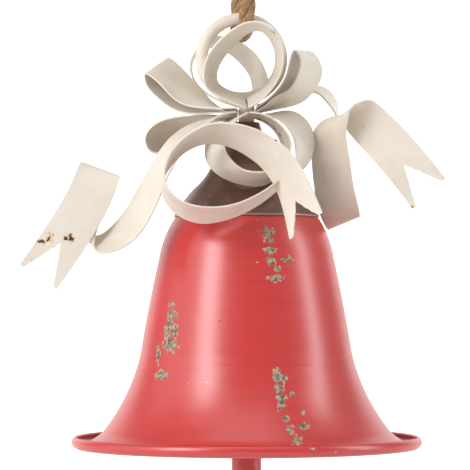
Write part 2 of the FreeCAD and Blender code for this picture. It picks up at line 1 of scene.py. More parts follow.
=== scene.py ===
"""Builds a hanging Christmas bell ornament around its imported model.

Run as a script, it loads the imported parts, makes the painted bell, its cap, the
curled metal bow, the ring, the rope and the clapper, and sets up a pale studio.
"""
import functools
import math

import bpy
import numpy as np
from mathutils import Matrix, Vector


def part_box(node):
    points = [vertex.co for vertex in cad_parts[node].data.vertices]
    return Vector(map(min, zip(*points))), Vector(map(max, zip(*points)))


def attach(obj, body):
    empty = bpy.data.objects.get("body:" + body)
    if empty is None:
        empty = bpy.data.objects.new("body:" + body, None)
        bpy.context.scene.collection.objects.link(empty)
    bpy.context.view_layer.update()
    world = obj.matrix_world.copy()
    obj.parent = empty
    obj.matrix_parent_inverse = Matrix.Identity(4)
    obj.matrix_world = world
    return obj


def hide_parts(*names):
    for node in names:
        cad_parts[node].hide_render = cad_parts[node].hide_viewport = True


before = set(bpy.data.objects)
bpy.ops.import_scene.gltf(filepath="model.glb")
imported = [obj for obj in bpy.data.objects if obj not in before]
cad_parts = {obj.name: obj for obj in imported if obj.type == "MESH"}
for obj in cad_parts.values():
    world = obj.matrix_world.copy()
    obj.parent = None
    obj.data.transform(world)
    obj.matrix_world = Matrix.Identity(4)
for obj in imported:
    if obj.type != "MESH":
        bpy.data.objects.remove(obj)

bl_info = {
    "name": "Christmas Bell Ornament",
    "version": (1, 0, 0),
    "blender": (4, 5, 0),
    "location": "3D View > Sidebar > Bell",
    "description": "Makes a painted metal bell with a curled ribbon bow on a jute rope",
    "category": "Object",
}

MM = 0.001

# Heights and radii, in millimetres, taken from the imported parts.
RING_BOX = [np.array(corner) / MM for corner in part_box("hanging_ring")]
CAP_BOX = [np.array(corner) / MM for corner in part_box("crown_cap")]
SHELL_BOX = [np.array(corner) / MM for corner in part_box("bell_shell")]
ROD_BOX = [np.array(corner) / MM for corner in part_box("clapper_rod")]
BALL_BOX = [np.array(corner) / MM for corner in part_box("clapper_ball")]
BOW = np.array([0.0, 0.0, RING_BOX[0][2]])
CAP_TOP = CAP_BOX[1][2]
CROWN = SHELL_BOX[1][2]
STUD_HOLE = 3.15

# The ribbons' stations: the strip's middle, in millimetres from the bow's middle,
# and the direction across the strip from its front edge to its back edge.
RIBBONS = {
    "left_upper_loop": [
        ((-4.5, 0, -4.0), (0.05, 1, 0)), ((-14, 1.5, -3.5), (0.15, 0.98, 0.11)),
        ((-25, 3.5, -2.6), (0.27, 0.94, 0.22)), ((-33, 5.5, 1.2), (0.37, 0.87, 0.31)),
        ((-41.5, 6, 9.5), (0.46, 0.80, 0.40)), ((-45.4, 4.3, 16.3), (0.49, 0.76, 0.42)),
        ((-45.2, 3.4, 19.7), (0.50, 0.75, 0.43)), ((-42.4, 2.4, 18.4), (0.505, 0.755, 0.42)),
        ((-37, 1, 13.5), (0.51, 0.76, 0.40)), ((-30, 0.5, 6.0), (0.46, 0.79, 0.40)),
        ((-22, -1, 0.6), (0.33, 0.92, 0.22)), ((-13, -2, -2.2), (0.13, 0.99, 0.04)),
        ((-4.5, -2, -2.8), (0.05, 1, 0)),
    ],
    "right_upper_loop": [
        ((4.5, 0, -3.8), (-0.05, 1, 0)), ((11, -0.5, -1.6), (0.15, 0.98, -0.04)),
        ((18, -3, 1.3), (0.32, 0.93, -0.15)), ((24.5, -5, 4.0), (0.41, 0.91, -0.13)),
        ((29.3, -6.5, 9.5), (0.48, 0.88, -0.09)), ((32, -7.5, 16), (0.52, 0.85, -0.05)),
        ((31.5, -7.5, 22), (0.45, 0.89, 0.02)), ((27.5, -5.5, 26.4), (0.36, 0.93, 0.06)),
        ((25.3, -4.5, 20.5), (0.36, 0.93, 0.04)), ((22.5, -3.5, 11), (0.36, 0.93, -0.02)),
        ((14.5, -1, 2.9), (0.20, 0.98, -0.02)), ((4.5, 0.5, -2.4), (-0.04, 1, 0)),
    ],
    "front_top_loop": [
        ((-0.5, -14.2, -0.3), (-0.04, 0.95, 0.31)), ((-10, -15, 3.7), (0.09, 0.95, 0.28)),
        ((-17.3, -15.5, 9), (0.25, 0.95, 0.19)), ((-17.8, -16.2, 16), (0.29, 0.95, 0.08)),
        ((-13.5, -18.5, 25), (0.33, 0.94, 0)), ((-6, -21, 32.5), (0.27, 0.96, -0.05)),
        ((1, -23.2, 36.5), (0.09, 0.99, -0.11)), ((8.3, -23.4, 36.3), (-0.03, 1, -0.08)),
        ((14.8, -22, 28.5), (-0.13, 0.99, -0.04)), ((16.5, -20, 20), (-0.13, 0.99, 0.04)),
        ((13.5, -17.5, 10.5), (-0.11, 0.99, 0.11)), ((7.5, -15.2, 4), (-0.06, 0.97, 0.23)),
        ((0.5, -14.2, -0.2), (-0.04, 0.95, 0.30)),
    ],
    "rear_top_loop": [
        ((-0.2, 15, -0.2), (-0.09, 0.98, 0.15)), ((5.2, 15.3, 4.6), (-0.22, 0.97, 0.12)),
        ((6.9, 16.2, 11.5), (-0.35, 0.93, 0.05)), ((5, 17.2, 18.5), (-0.34, 0.94, -0.08)),
        ((-1.5, 19, 27), (-0.34, 0.93, -0.13)), ((-7, 20, 31), (-0.25, 0.95, -0.17)),
        ((-14, 20, 33.4), (-0.25, 0.96, -0.16)), ((-21, 19, 31.8), (-0.15, 0.96, -0.23)),
        ((-27, 19.5, 25), (-0.04, 0.99, -0.09)), ((-28, 21, 19), (0.03, 1, -0.07)),
        ((-25.5, 21.5, 12.5), (0.04, 1, 0.01)), ((-18.5, 20, 6), (0.06, 1, 0.05)),
        ((-3, 15, 0), (-0.07, 0.99, 0.13)),
    ],
    "left_lower_loop": [
        ((-4.5, 11.5, -6.4), (0, 1, 0)), ((-18, 11.5, -6.2), (0.12, 0.98, -0.08)),
        ((-29, 11.5, -8), (0.26, 0.94, -0.19)), ((-36.5, 10, -10.3), (0.37, 0.88, -0.27)),
        ((-42.5, 10, -14), (0.45, 0.85, -0.27)), ((-45.8, 10, -19.5), (0.46, 0.87, -0.16)),
        ((-43.5, 11, -24), (0.41, 0.91, -0.05)), ((-35.5, 12, -21.5), (0.30, 0.95, 0.02)),
        ((-24, 12.5, -15), (0.14, 0.99, 0.02)), ((-13, 11.5, -9.2), (0.03, 1, 0.01)),
        ((-4.5, 11.5, -7.6), (0, 1, 0)),
    ],
    "front_lower_loop": [
        ((0.5, -17.5, -5.9), (-0.08, 1, -0.02)), ((9, -18, -8.2), (-0.08, 0.99, -0.07)),
        ((15.3, -18, -12.8), (-0.14, 0.99, -0.05)), ((19.2, -21, -19.5), (-0.16, 0.98, -0.10)),
        ((18.8, -26, -29), (-0.20, 0.94, -0.25)), ((13, -33, -36.8), (-0.24, 0.91, -0.32)),
        ((3.5, -38, -38.8), (-0.24, 0.93, -0.26)), ((-5, -37.5, -37), (-0.31, 0.93, -0.20)),
        ((-11.5, -34.5, -32.5), (-0.38, 0.90, -0.20)), ((-15.2, -30, -27), (-0.41, 0.89, -0.18)),
        ((-15.6, -25.5, -20.8), (-0.42, 0.90, -0.10)), ((-12.8, -21, -14.8), (-0.39, 0.92, -0.03)),
        ((-7.2, -19, -9.2), (-0.25, 0.97, 0)), ((-0.6, -17.7, -6.0), (-0.10, 0.99, -0.01)),
    ],
    "front_tail": [
        ((4.5, 1, -5.3), (0.0, 1, 0.0)), ((12, -2.5, -5.0), (0.20, 0.97, 0.12)),
        ((19, -6, -5.8), (0.34, 0.91, 0.24)), ((25.2, -9, -10.5), (0.43, 0.87, 0.26)),
        ((28.4, -14.5, -18), (0.46, 0.87, 0.10)), ((27.7, -20.5, -26), (0.34, 0.91, -0.20)),
        ((24.6, -27, -32.2), (0.07, 0.95, -0.28)), ((19.2, -36, -37.8), (-0.20, 0.88, -0.40)),
        ((12.4, -44, -44), (-0.42, 0.74, -0.52)), ((4.3, -49, -49.8), (-0.55, 0.65, -0.52)),
        ((-4.5, -52, -54), (-0.58, 0.67, -0.46)), ((-13, -53, -56.4), (-0.55, 0.73, -0.38)),
        ((-21.5, -55, -56.6), (-0.47, 0.83, -0.28)), ((-29.5, -56, -54.6), (-0.35, 0.92, -0.18)),
        ((-36, -56, -50.3), (-0.22, 0.97, -0.12)), ((-39.8, -56, -43.6), (-0.11, 0.98, -0.12)),
        ((-39.8, -55, -36.5), (-0.06, 0.97, -0.20)), ((-36, -53.5, -29), (-0.05, 0.95, -0.30)),
        ((-28.3, -52, -21.8), (-0.04, 0.95, -0.32)), ((-18.5, -51, -17.8), (-0.06, 0.92, -0.38)),
        ((-7, -52, -18.5), (-0.13, 0.88, -0.45)), ((4, -54, -23), (-0.27, 0.81, -0.51)),
        ((12.3, -56.5, -29.2), (-0.40, 0.77, -0.49)), ((18.8, -57.5, -37.5), (-0.50, 0.73, -0.46)),
        ((23.8, -58.5, -48.5), (-0.58, 0.66, -0.47)), ((28.2, -61, -62.5), (-0.70, 0.42, -0.58)),
    ],
    "left_tail": [
        ((-4.8, -9.9, -5.3), (0.03, 1, 0)), ((-13, -14.2, -6.7), (-0.02, 1, 0.02)),
        ((-20, -15.5, -9.6), (-0.10, 0.98, 0.14)), ((-27, -18, -14.8), (-0.22, 0.92, 0.31)),
        ((-35, -21, -22), (-0.33, 0.88, 0.33)), ((-40.2, -23, -29.5), (-0.40, 0.88, 0.25)),
        ((-44.6, -24, -37.8), (-0.47, 0.86, 0.19)), ((-49.2, -25, -47.5), (-0.54, 0.82, 0.18)),
        ((-55.5, -26, -58.8), (-0.54, 0.79, 0.29)), ((-64.5, -26, -67.8), (-0.36, 0.83, 0.42)),
        ((-74.5, -22.5, -70.4), (-0.16, 0.91, 0.38)), ((-80.6, -16, -64), (-0.58, 0.79, 0.18)),
        ((-78.5, -11, -51), (-0.86, 0.50, 0.10)), ((-74, -10, -38.5), (-0.89, 0.36, 0.28)),
        ((-72.4, -14, -33.2), (-0.90, 0.28, 0.33)), ((-74.5, -19.5, -39.5), (-0.92, 0.10, 0.38)),
        ((-81, -24.5, -54), (-0.90, 0.04, 0.43)), ((-90, -28, -69), (-0.87, 0.02, 0.49)),
        ((-102, -31, -86.5), (-0.84, 0, 0.54)),
    ],
    "right_tail": [
        ((5.2, 10, -0.4), (0.0, 1, 0)), ((11, 17, 2.4), (0.07, 0.99, 0.06)),
        ((17, 22.5, 4.6), (0.12, 0.98, 0.14)), ((28, 18.5, 7.4), (0.16, 0.96, 0.22)),
        ((36, 17.5, 9), (0.14, 0.96, 0.22)), ((42, 18.5, 5), (0.19, 0.96, 0.21)),
        ((46, 20.5, -4), (0.05, 0.99, 0.10)), ((45, 22, -16), (-0.28, 0.96, 0.02)),
        ((42.5, 22, -29), (-0.60, 0.80, -0.08)), ((43.5, 19, -42), (-0.76, 0.63, -0.14)),
        ((46.5, 12, -53.5), (-0.76, 0.60, -0.25)), ((48.8, 3.5, -59), (-0.71, 0.64, -0.29)),
        ((46.2, -2.5, -51), (-0.80, 0.56, -0.20)), ((43.2, -5, -39), (-0.85, 0.51, -0.12)),
        ((41.9, -6.8, -28.5), (-0.83, 0.55, -0.05)), ((41, -7.4, -20), (-0.77, 0.63, -0.01)),
        ((42, -10, -12), (-0.66, 0.75, 0.02)), ((45.8, -11.8, -7.2), (-0.38, 0.92, 0.03)),
        ((51, -12.5, -4.6), (-0.16, 0.95, -0.25)), ((54.4, -12.5, -5.4), (-0.42, 0.70, -0.57)),
        ((59.8, -12.5, -9.8), (-0.58, 0.40, -0.71)), ((69, -14.5, -19.5), (-0.64, 0.25, -0.73)),
        ((78, -17.5, -30), (-0.70, 0.12, -0.70)), ((89.8, -22, -45.5), (-0.73, 0.05, -0.68)),
    ],
}

# Swallowtails: the depth of the notch and how far it lies from the strip's middle,
# towards the back edge.
SWALLOWTAILS = {
    "front_tail": (14.0, 1.5),
    "left_tail": (20.0, 0.5),
    "right_tail": (19.5, 1.0),
}
PRONG_TIP = 2.2

# The rope's route: down from the knot, under the ring's top bar, up the front, over
# the hook and back to the knot. It starts and ends straight up and down.
ROPE_ROUTE = [
    (-3.6, 9.0, -58.3),
    (-3.6, 9.0, -74.0),
    (-4.6, 7.6, -91.0),
    (-0.2, -7.6, -91.0),
    (0.6, -8.2, -75.0),
    (1.2, -9.6, -47.0),
    (0.4, -11.6, -17.0),
    (0.0, -12.0, 4.0),
    (0.0, 12.0, 4.0),
    (-1.4, 11.4, -12.5),
    (-3.6, 9.0, -25.5),
    (-3.6, 9.0, -37.7),
]
KNOT_AT = (-3.6, 9.0, -48.0)

# Outlines of the turned parts: radius and height in millimetres, with the bulge of
# the arc that leads to the next corner, as a share of its chord, to its left.
SHELL_OUTLINE = [
    (STUD_HOLE, 0.0, 0.0),
    (23.0, 0.0, 0.14),
    (35.5, -4.8, 0.055),
    (43.7, -25.4, 0.008),
    (52.8, -72.4, -0.058),
    (72.3, -112.6, -0.05),
    (81.5, -118.0, -0.33),
    (86.2, -117.4, -0.15),
    (85.0, -115.3, 0.0),
]
CAP_OUTLINE = [
    (STUD_HOLE, 0.0, 0.0),
    (6.5, 0.0, -0.05),
    (17.5, -21.5, -0.06),
    (26.0, -32.9, 0.03),
    (36.5, -47.0, 0.0),
]
ROD_OUTLINE = [
    (0.0, 0.0, 0.0),
    (2.5, 0.0, 0.12),
    (7.5, -6.0, 0.0),
    (7.5, -106.0, 0.0),
    (0.0, -106.0, 0.0),
]

# Places where the red coat has come off: middle and half sizes across and up, in
# millimetres. Each is given on the front face, whose depth follows from its height.
SHELL_CHIPS = [
    (-36.2, -226.2, 1.4, 1.6),
    (-37.4, -233.5, 1.1, 4.6),
    (-35.0, -231.5, 1.0, 2.0),
    (-38.6, -240.5, 1.4, 5.2),
    (-34.9, -238.9, 1.3, 3.0),
    (-37.0, -246.0, 3.2, 2.8),
    (-43.2, -250.0, 0.8, 4.2),
    (-41.4, -260.1, 2.9, 2.0),
    (10.3, -191.4, 2.9, 3.0),
    (11.9, -194.6, 1.3, 1.8),
    (11.4, -199.9, 2.3, 1.5),
    (11.6, -205.3, 1.9, 1.4),
    (14.3, -208.7, 1.7, 1.2),
    (13.8, -213.6, 3.3, 1.5),
    (18.9, -204.6, 2.7, 0.8),
    (20.3, -203.6, 0.8, 1.6),
    (14.0, -260.4, 1.7, 2.8),
    (17.6, -261.4, 1.5, 1.9),
    (14.6, -265.4, 1.3, 3.0),
    (16.4, -271.4, 1.9, 4.6),
    (21.5, -269.0, 1.2, 1.4),
    (18.3, -280.2, 1.4, 1.4),
    (20.4, -285.4, 1.6, 2.2),
    (24.0, -291.0, 1.8, 2.6),
    (27.3, -283.8, 2.4, 1.4),
    (26.8, -277.5, 0.8, 0.9),
    (29.5, -293.7, 3.8, 0.7),
    (41.4, -295.4, 1.7, 0.5),
]

# Places where the cream coat has come off the ribbons: node, middle relative to the
# bow in millimetres, and radius.
RIBBON_CHIPS = {
    "left_upper_loop": [((-44.5, 11.5, 25.2), 2.2), ((-42.5, 12.5, 26.4), 1.4)],
    "front_top_loop": [((13.6, -31.5, 33.6), 1.7), ((15.8, -31.0, 30.4), 1.1)],
    "right_upper_loop": [((30.0, 2.0, 13.5), 0.9), ((33.5, 2.5, 12.5), 0.8)],
    "left_tail": [((-100.8, -31.0, -69.0), 2.3), ((-103.0, -31.0, -68.0), 1.6),
                  ((-96.2, -30.0, -67.0), 2.0), ((-96.0, -30.0, -64.0), 0.9),
                  ((-86.0, -29.0, -67.1), 2.0), ((-88.6, -29.0, -67.4), 1.5),
                  ((-84.8, -28.5, -61.8), 1.0)],
    "right_tail": [((80.6, -22.5, -52.6), 1.5), ((98.6, -22.5, -37.0), 1.5)],
    "front_lower_loop": [((6.0, -12.0, -8.4), 1.8), ((9.0, -13.0, -10.4), 2.4),
                         ((12.6, -14.0, -13.6), 2.2), ((15.4, -15.5, -17.0), 1.9),
                         ((17.2, -17.5, -20.6), 1.5)],
    "front_tail": [((29.0, -62.0, -52.0), 0.9)],
    "rear_top_loop": [((-24.0, 27.0, 30.0), 1.2)],
}


# The light that comes evenly from all round, and each lamp's name, place in metres,
# width and height in metres, and power in watts.
AIR_STRENGTH = 0.42
PAPER_GLOW = 0.85
LIGHTS = [
    ("left_softbox", (-1.25, -1.20, 0.55), (0.66, 1.40), 21.0),
    ("left_wall", (-1.75, -0.15, 0.15), (1.40, 1.80), 6.0),
    ("right_strip", (1.45, -0.22, 0.25), (0.36, 1.40), 8.5),
    ("overhead_softbox", (0.0, -0.6, 1.6), (1.4, 1.4), 6.0),
]

# How ragged a chip's border is, as a share of its size.
CHIP_RAGGED = 3.4
# Distance between the rope's sections, in millimetres.
ROPE_STEP = 0.45
# Settings that several nodes share.
COLOUR = {"data_type": "RGBA"}
SMOOTH = {"interpolation_type": "SMOOTHSTEP"}


class OrnamentSizes(bpy.types.PropertyGroup):
    """Sizes of the pieces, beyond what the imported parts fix."""

    shell_gauge: bpy.props.FloatProperty(
        name="Bell sheet", description="Thickness of the bell's spun sheet",
        default=0.0012, unit="LENGTH")
    cap_gauge: bpy.props.FloatProperty(
        name="Cap sheet", description="Thickness of the cap's spun sheet",
        default=0.001, unit="LENGTH")
    ribbon_width: bpy.props.FloatProperty(
        name="Ribbon width", description="Width of each metal ribbon",
        default=0.022, unit="LENGTH")
    ribbon_gauge: bpy.props.FloatProperty(
        name="Ribbon sheet", description="Thickness of each metal ribbon",
        default=0.0009, unit="LENGTH")
    ring_wire: bpy.props.FloatProperty(
        name="Ring bar", description="Diameter of the ring's bar",
        default=0.0063, unit="LENGTH")
    rope_diameter: bpy.props.FloatProperty(
        name="Rope", description="Diameter of the jute rope",
        default=0.008, unit="LENGTH")
    rope_pitch: bpy.props.FloatProperty(
        name="Rope lay", description="Length of one full turn of a strand",
        default=0.034, unit="LENGTH")
    ball_seat: bpy.props.FloatProperty(
        name="Ball seat", description="How far the clapper's rod goes into its ball",
        default=0.008, unit="LENGTH")


def hex_to_linear(code, alpha=1.0):
    """Linear colour from an sRGB hex value."""
    srgb = [int(code[i:i + 2], 16) / 255 for i in (1, 3, 5)]
    linear = [c / 12.92 if c <= 0.04045 else ((c + 0.055) / 1.055) ** 2.4 for c in srgb]
    return (*linear, alpha)


def colour_property(name, description, code):
    """A colour setting whose default is an sRGB hex value."""
    return bpy.props.FloatVectorProperty(
        name=name, description=description, subtype="COLOR", size=4, min=0.0, max=1.0,
        default=hex_to_linear(code))


class OrnamentColours(bpy.types.PropertyGroup):
    """Colours of the finishes."""

    red: colour_property("Red paint", "The bell's paint", "#D22B28")
    red_deep: colour_property("Deep red", "Where the red paint is thicker", "#BE2422")
    cream: colour_property("Cream paint", "The bow's paint", "#E6DDD0")
    # A darker cream, mixed in random cloudy patches.
    cream_shade: colour_property("Cream in the hollows", "Dusty cream", "#D6C9B9")
    bronze: colour_property("Bronze lacquer", "The cap's lacquer", "#7E6056")
    # Pale grey for rubbed patches on the cap, and for the painted highlight along its foot.
    bronze_rubbed_and_highlight: colour_property("Worn bronze", "Where the lacquer is rubbed", "#A39A93")
    bare: colour_property("Bare metal", "Weathered metal in the chips", "#9C9A80")
    primer: colour_property("Chip border", "Pale coat at the edge of a chip", "#C3AE92")
    scorched: colour_property("Stained cream", "Cream paint at a chip", "#D9B48E")
    rust: colour_property("Rust", "Rusty metal at worn edges", "#664632")
    jute: colour_property("Jute", "The rope's fibres", "#D0A570")
    # Darker fibres, and the painted shade in the grooves between the strands.
    jute_dark_and_groove_shade: colour_property("Jute in the lay", "Between the strands", "#5A3A20")
    zinc: colour_property("Zinc", "The hardware's plating", "#8F8F8C")
    paper: colour_property("Backdrop", "Floor and backdrop", "#F7F6F4")


def sizes():
    return bpy.context.scene.ornament_sizes


def colours():
    return bpy.context.scene.ornament_colours


# ---------------------------------------------------------------- shapes


def free_spline(knots, values, at):
    """Cubic spline through the values at the knots, with no bending at its ends.

    The second derivatives at the knots solve the usual three-term equations, and
    each span is the cubic that has the values and second derivatives of its ends.
    """
    knots, values = np.asarray(knots, float), np.asarray(values, float)
    gaps = np.diff(knots)
    count = len(knots)
    system = np.eye(count)
    right = np.zeros_like(values)
    rows = np.arange(1, count - 1)
    system[rows, rows - 1] = gaps[:-1] / 6
    system[rows, rows] = (gaps[:-1] + gaps[1:]) / 3
    system[rows, rows + 1] = gaps[1:] / 6
    slopes = np.diff(values, axis=0) / gaps[:, None]
    right[1:-1] = np.diff(slopes, axis=0)
    bends = np.linalg.solve(system, right)
    span = np.clip(np.searchsorted(knots, at, side="right") - 1, 0, count - 2)
    width = gaps[span][:, None]
    ahead = (knots[span + 1] - at)[:, None]
    behind = (at - knots[span])[:, None]
    return (values[span] * ahead / width + values[span + 1] * behind / width
            + bends[span] * (ahead ** 3 / width - width * ahead) / 6
            + bends[span + 1] * (behind ** 3 / width - width * behind) / 6)


def unit(rows):
    """Each row scaled to length one."""
    return rows / np.linalg.norm(rows, axis=-1, keepdims=True)


def arc_points(start, end, bulge, count):
    """Points on the arc between two corners; its rise is bulge times its chord."""
    start, end = np.array(start, float), np.array(end, float)
    share = np.linspace(0.0, 1.0, count, endpoint=False)[:, None]
    if abs(bulge) < 1e-6:
        return start + (end - start) * share
    chord = end - start
    left = np.array([-chord[1], chord[0]])
    half_angle = 2 * math.atan(2 * bulge)
    centre = (start + end) / 2 + left * (bulge / 2 - 1 / (8 * bulge))
    turned = -2 * half_angle * share
    arm = start - centre
    cos, sin = np.cos(turned), np.sin(turned)
    return centre + np.hstack([arm[0] * cos - arm[1] * sin, arm[0] * sin + arm[1] * cos])


def outline_points(corners, top, step):
    """Closely spaced radius and height pairs along an outline of arcs."""
    runs = []
    for (r1, h1, bulge), (r2, h2, _) in zip(corners, corners[1:]):
        count = max(3, int(math.hypot(r2 - r1, h2 - h1) / step))
        runs.append(arc_points((r1, h1), (r2, h2), bulge, count))
    runs.append(np.array([corners[-1][:2]]))
    return np.vstack(runs) + (0.0, top)


def sheet_outline(outer, gauge):
    """An outline and its copy one gauge to the right of its direction, end to end."""
    along = unit(np.gradient(outer, axis=0))
    right = np.column_stack([along[:, 1], -along[:, 0]])
    return np.vstack([outer, (outer + right * gauge)[::-1]])


def grid_faces(rows, columns, wrap_rows, wrap_columns):
    """Quads of a grid of points, as rows of four numbers."""
    r = np.arange(rows if wrap_rows else rows - 1)
    c = np.arange(columns if wrap_columns else columns - 1)
    r, c = np.meshgrid(r, c, indexing="ij")
    r2, c2 = (r + 1) % rows, (c + 1) % columns
    quads = [r * columns + c, r * columns + c2, r2 * columns + c2, r2 * columns + c]
    return np.stack(quads, -1).reshape(-1, 4)


def end_fans(rows, around):
    """Triangles that close both ends of a tube on the two points after its grid."""
    here = np.arange(around)
    there = (here + 1) % around
    first, last, base = rows * around, rows * around + 1, (rows - 1) * around
    return np.vstack([np.column_stack([there, here, 0 * here + first]),
                      np.column_stack([base + here, base + there, 0 * here + last])]).tolist()


def mesh_object(name, points_mm, faces, material):
    """A smooth mesh object at the origin; the points are in millimetres."""
    mesh = bpy.data.meshes.new(name)
    mesh.from_pydata((np.asarray(points_mm) * MM).tolist(), [],
                     [tuple(f) for f in faces] if isinstance(faces, list) else faces.tolist())
    mesh.validate()
    mesh.polygons.foreach_set("use_smooth", np.ones(len(mesh.polygons), bool))
    mesh.update()
    piece = bpy.data.objects.new(name, mesh)
    bpy.context.scene.collection.objects.link(piece)
    mesh.materials.append(material)
    return piece


def add_uv(piece, across, along):
    """A UV map from two values per point, in metres."""
    mesh = piece.data
    corners = np.zeros(len(mesh.loops), np.int64)
    mesh.loops.foreach_get("vertex_index", corners)
    layer = mesh.uv_layers.new(name="UVMap")
    pairs = np.column_stack([across[corners], along[corners]]) * MM
    layer.data.foreach_set("uv", pairs.astype(np.float32).ravel())


def add_attribute(piece, name, values):
    """One number per point, for the material to read."""
    attribute = piece.data.attributes.new(name, "FLOAT", "POINT")
    attribute.data.foreach_set("value", np.asarray(values, np.float32))


def turned_piece(name, outline, around, closed, material, wobble=0.0):
    """An outline turned about Z.

    A point of the outline at radius r and height h goes to (r cos a, r sin a, h)
    for each angle a. The wobble adds a few tenths of a millimetre of slow waves to
    the radius, as hand spinning leaves. An open outline starts and ends on the axis,
    where one point closes each end.
    """
    angle = np.linspace(0.0, 2 * math.pi, around, endpoint=False)
    ring = outline if closed else outline[1:-1]
    radius, height = ring[:, :1], ring[:, 1:]
    waves = (np.sin(2 * angle + height / 31) + 0.6 * np.sin(3 * angle - height / 23 + 1.3)
             + 0.4 * np.sin(5 * angle + height / 17 + 0.4))
    swell = radius + wobble * waves * np.clip((radius - 20.0) / 30.0, 0.0, 1.0)
    points = np.stack([swell * np.cos(angle), swell * np.sin(angle),
                       height + 0 * angle], -1).reshape(-1, 3)
    faces = grid_faces(len(ring), around, closed, True)
    if not closed:
        points = np.vstack([points, [0.0, 0.0, outline[0, 1]], [0.0, 0.0, outline[-1, 1]]])
        faces = faces.tolist() + end_fans(len(ring), around)
    return mesh_object(name, points, faces, material)


def strip_frames(name, step):
    """Points, directions across and lengths along one ribbon, about one step apart."""
    stations = np.array([middle for middle, across in RIBBONS[name]], float) + BOW
    turns = unit(np.array([across for middle, across in RIBBONS[name]], float))
    reach = np.r_[0.0, np.cumsum(np.linalg.norm(np.diff(stations, axis=0), axis=1))]
    at = np.linspace(0.0, reach[-1], int(reach[-1] / step) + 1)
    return free_spline(reach, stations, at), unit(free_spline(reach, turns, at)), at


def strip_halves(width, at, notch, half_columns):
    """Places across the strip of the points of its front and back halves.

    The halves share the line between them up to the notch's apex. Past it, each
    half narrows in a straight line to its prong's blunt tip.
    """
    depth, offset = notch if notch else (0.0, 0.0)
    past = np.clip((at - (at[-1] - depth)) / depth, 0.0, 1.0) if depth else 0 * at
    ragged = 0.35 * np.sin(at * 2.9) * np.sin(at * 1.31 + 0.7) * (past > 0.03)
    low = offset + past * (-width / 2 + PRONG_TIP - offset) + ragged * (past < 0.97)
    high = offset + past * (width / 2 - PRONG_TIP - offset) + ragged * (past < 0.97)
    share = np.linspace(0.0, 1.0, half_columns + 1)
    front = -width / 2 + (low[:, None] + width / 2) * share
    back = high[:, None] + (width / 2 - high[:, None]) * share
    return front, back, past


def ribbon_piece(name, material):
    """One curled strip of sheet.

    The middle line and the direction across are cubic splines through the stations.
    A point of the strip lies on its middle line plus its place across times that
    direction, with a slow ripple of a tenth of a millimetre along the normal, and
    Solidify gives the sheet its gauge.
    """
    width, gauge = sizes().ribbon_width / MM, sizes().ribbon_gauge / MM
    middles, acrosses, at = strip_frames(name, 0.8)
    normals = unit(np.cross(np.gradient(middles, axis=0), acrosses))
    columns = 7
    front, back, past = strip_halves(width, at, SWALLOWTAILS.get(name), columns)
    apex = int(np.sum(past <= 0.0))
    place = np.hstack([front, back])
    ripple = 0.10 * np.sin(at[:, None] / 9 + place / 7) * np.sin(at[:, None] / 23 + 1.1)
    points = (middles[:, None] + acrosses[:, None] * place[..., None]
              + normals[:, None] * ripple[..., None])
    total = 2 * (columns + 1)
    number = np.arange(len(at) * total).reshape(len(at), total)
    shared = number.copy()
    shared[:apex, columns + 1] = number[:apex, columns]
    blocks = []
    for first, last in ((0, columns), (columns + 1, total - 1)):
        block = shared[:, first:last + 1]
        blocks.append(np.stack([block[:-1, :-1], block[:-1, 1:], block[1:, 1:], block[1:, :-1]],
                               -1).reshape(-1, 4))
    faces = np.vstack(blocks)
    used, faces = np.unique(faces, return_inverse=True)
    faces = faces.reshape(-1, 4)
    edge = np.minimum(width / 2 - np.abs(place), (at[-1] - at)[:, None])
    inner = np.minimum(np.abs(place - front[:, -1:]), np.abs(place - back[:, :1]))
    edge = np.where((past > 0.0)[:, None], np.minimum(edge, inner), edge)
    along = at[:, None] + 0 * place
    piece = mesh_object(name + "_sheet", points.reshape(-1, 3)[used], faces, material)
    add_uv(piece, place.ravel()[used], along.ravel()[used])
    add_attribute(piece, "edge", edge.ravel()[used] * MM)
    wall = piece.modifiers.new("Gauge", "SOLIDIFY")
    wall.thickness, wall.offset, wall.use_even_offset = gauge * MM, 0.0, True
    soften = piece.modifiers.new("Edges", "BEVEL")
    soften.width, soften.segments, soften.limit_method = 0.00022, 2, "ANGLE"
    soften.angle_limit = math.radians(50)
    soften.harden_normals = True
    return piece


def route_line(points_mm):
    """The rope's own line: one open NURBS spline whose control points are the route's."""
    curve = bpy.data.curves.new("rope_line", "CURVE")
    curve.dimensions = "3D"
    curve.resolution_u = 32
    spline = curve.splines.new("NURBS")
    spline.points.add(len(points_mm) - 1)
    flat = np.hstack([np.array(points_mm) * MM, np.ones((len(points_mm), 1))])
    spline.points.foreach_set("co", flat.ravel())
    spline.order_u = 3
    spline.use_endpoint_u = True
    line = bpy.data.objects.new("rope_line", curve)
    bpy.context.scene.collection.objects.link(line)
    bpy.context.view_layer.update()
    mesh = bpy.data.meshes.new_from_object(line)
    points = np.zeros(len(mesh.vertices) * 3)
    mesh.vertices.foreach_get("co", points)
    bpy.data.objects.remove(line)
    bpy.data.curves.remove(curve)
    bpy.data.meshes.remove(mesh)
    return points.reshape(-1, 3) / MM


def even_line(points, step):
    """The same line with its points one step apart."""
    reach = np.r_[0.0, np.cumsum(np.linalg.norm(np.diff(points, axis=0), axis=1))]
    at = np.linspace(0.0, reach[-1], int(reach[-1] / step) + 1)
    return np.column_stack([np.interp(at, reach, points[:, i]) for i in range(3)]), at


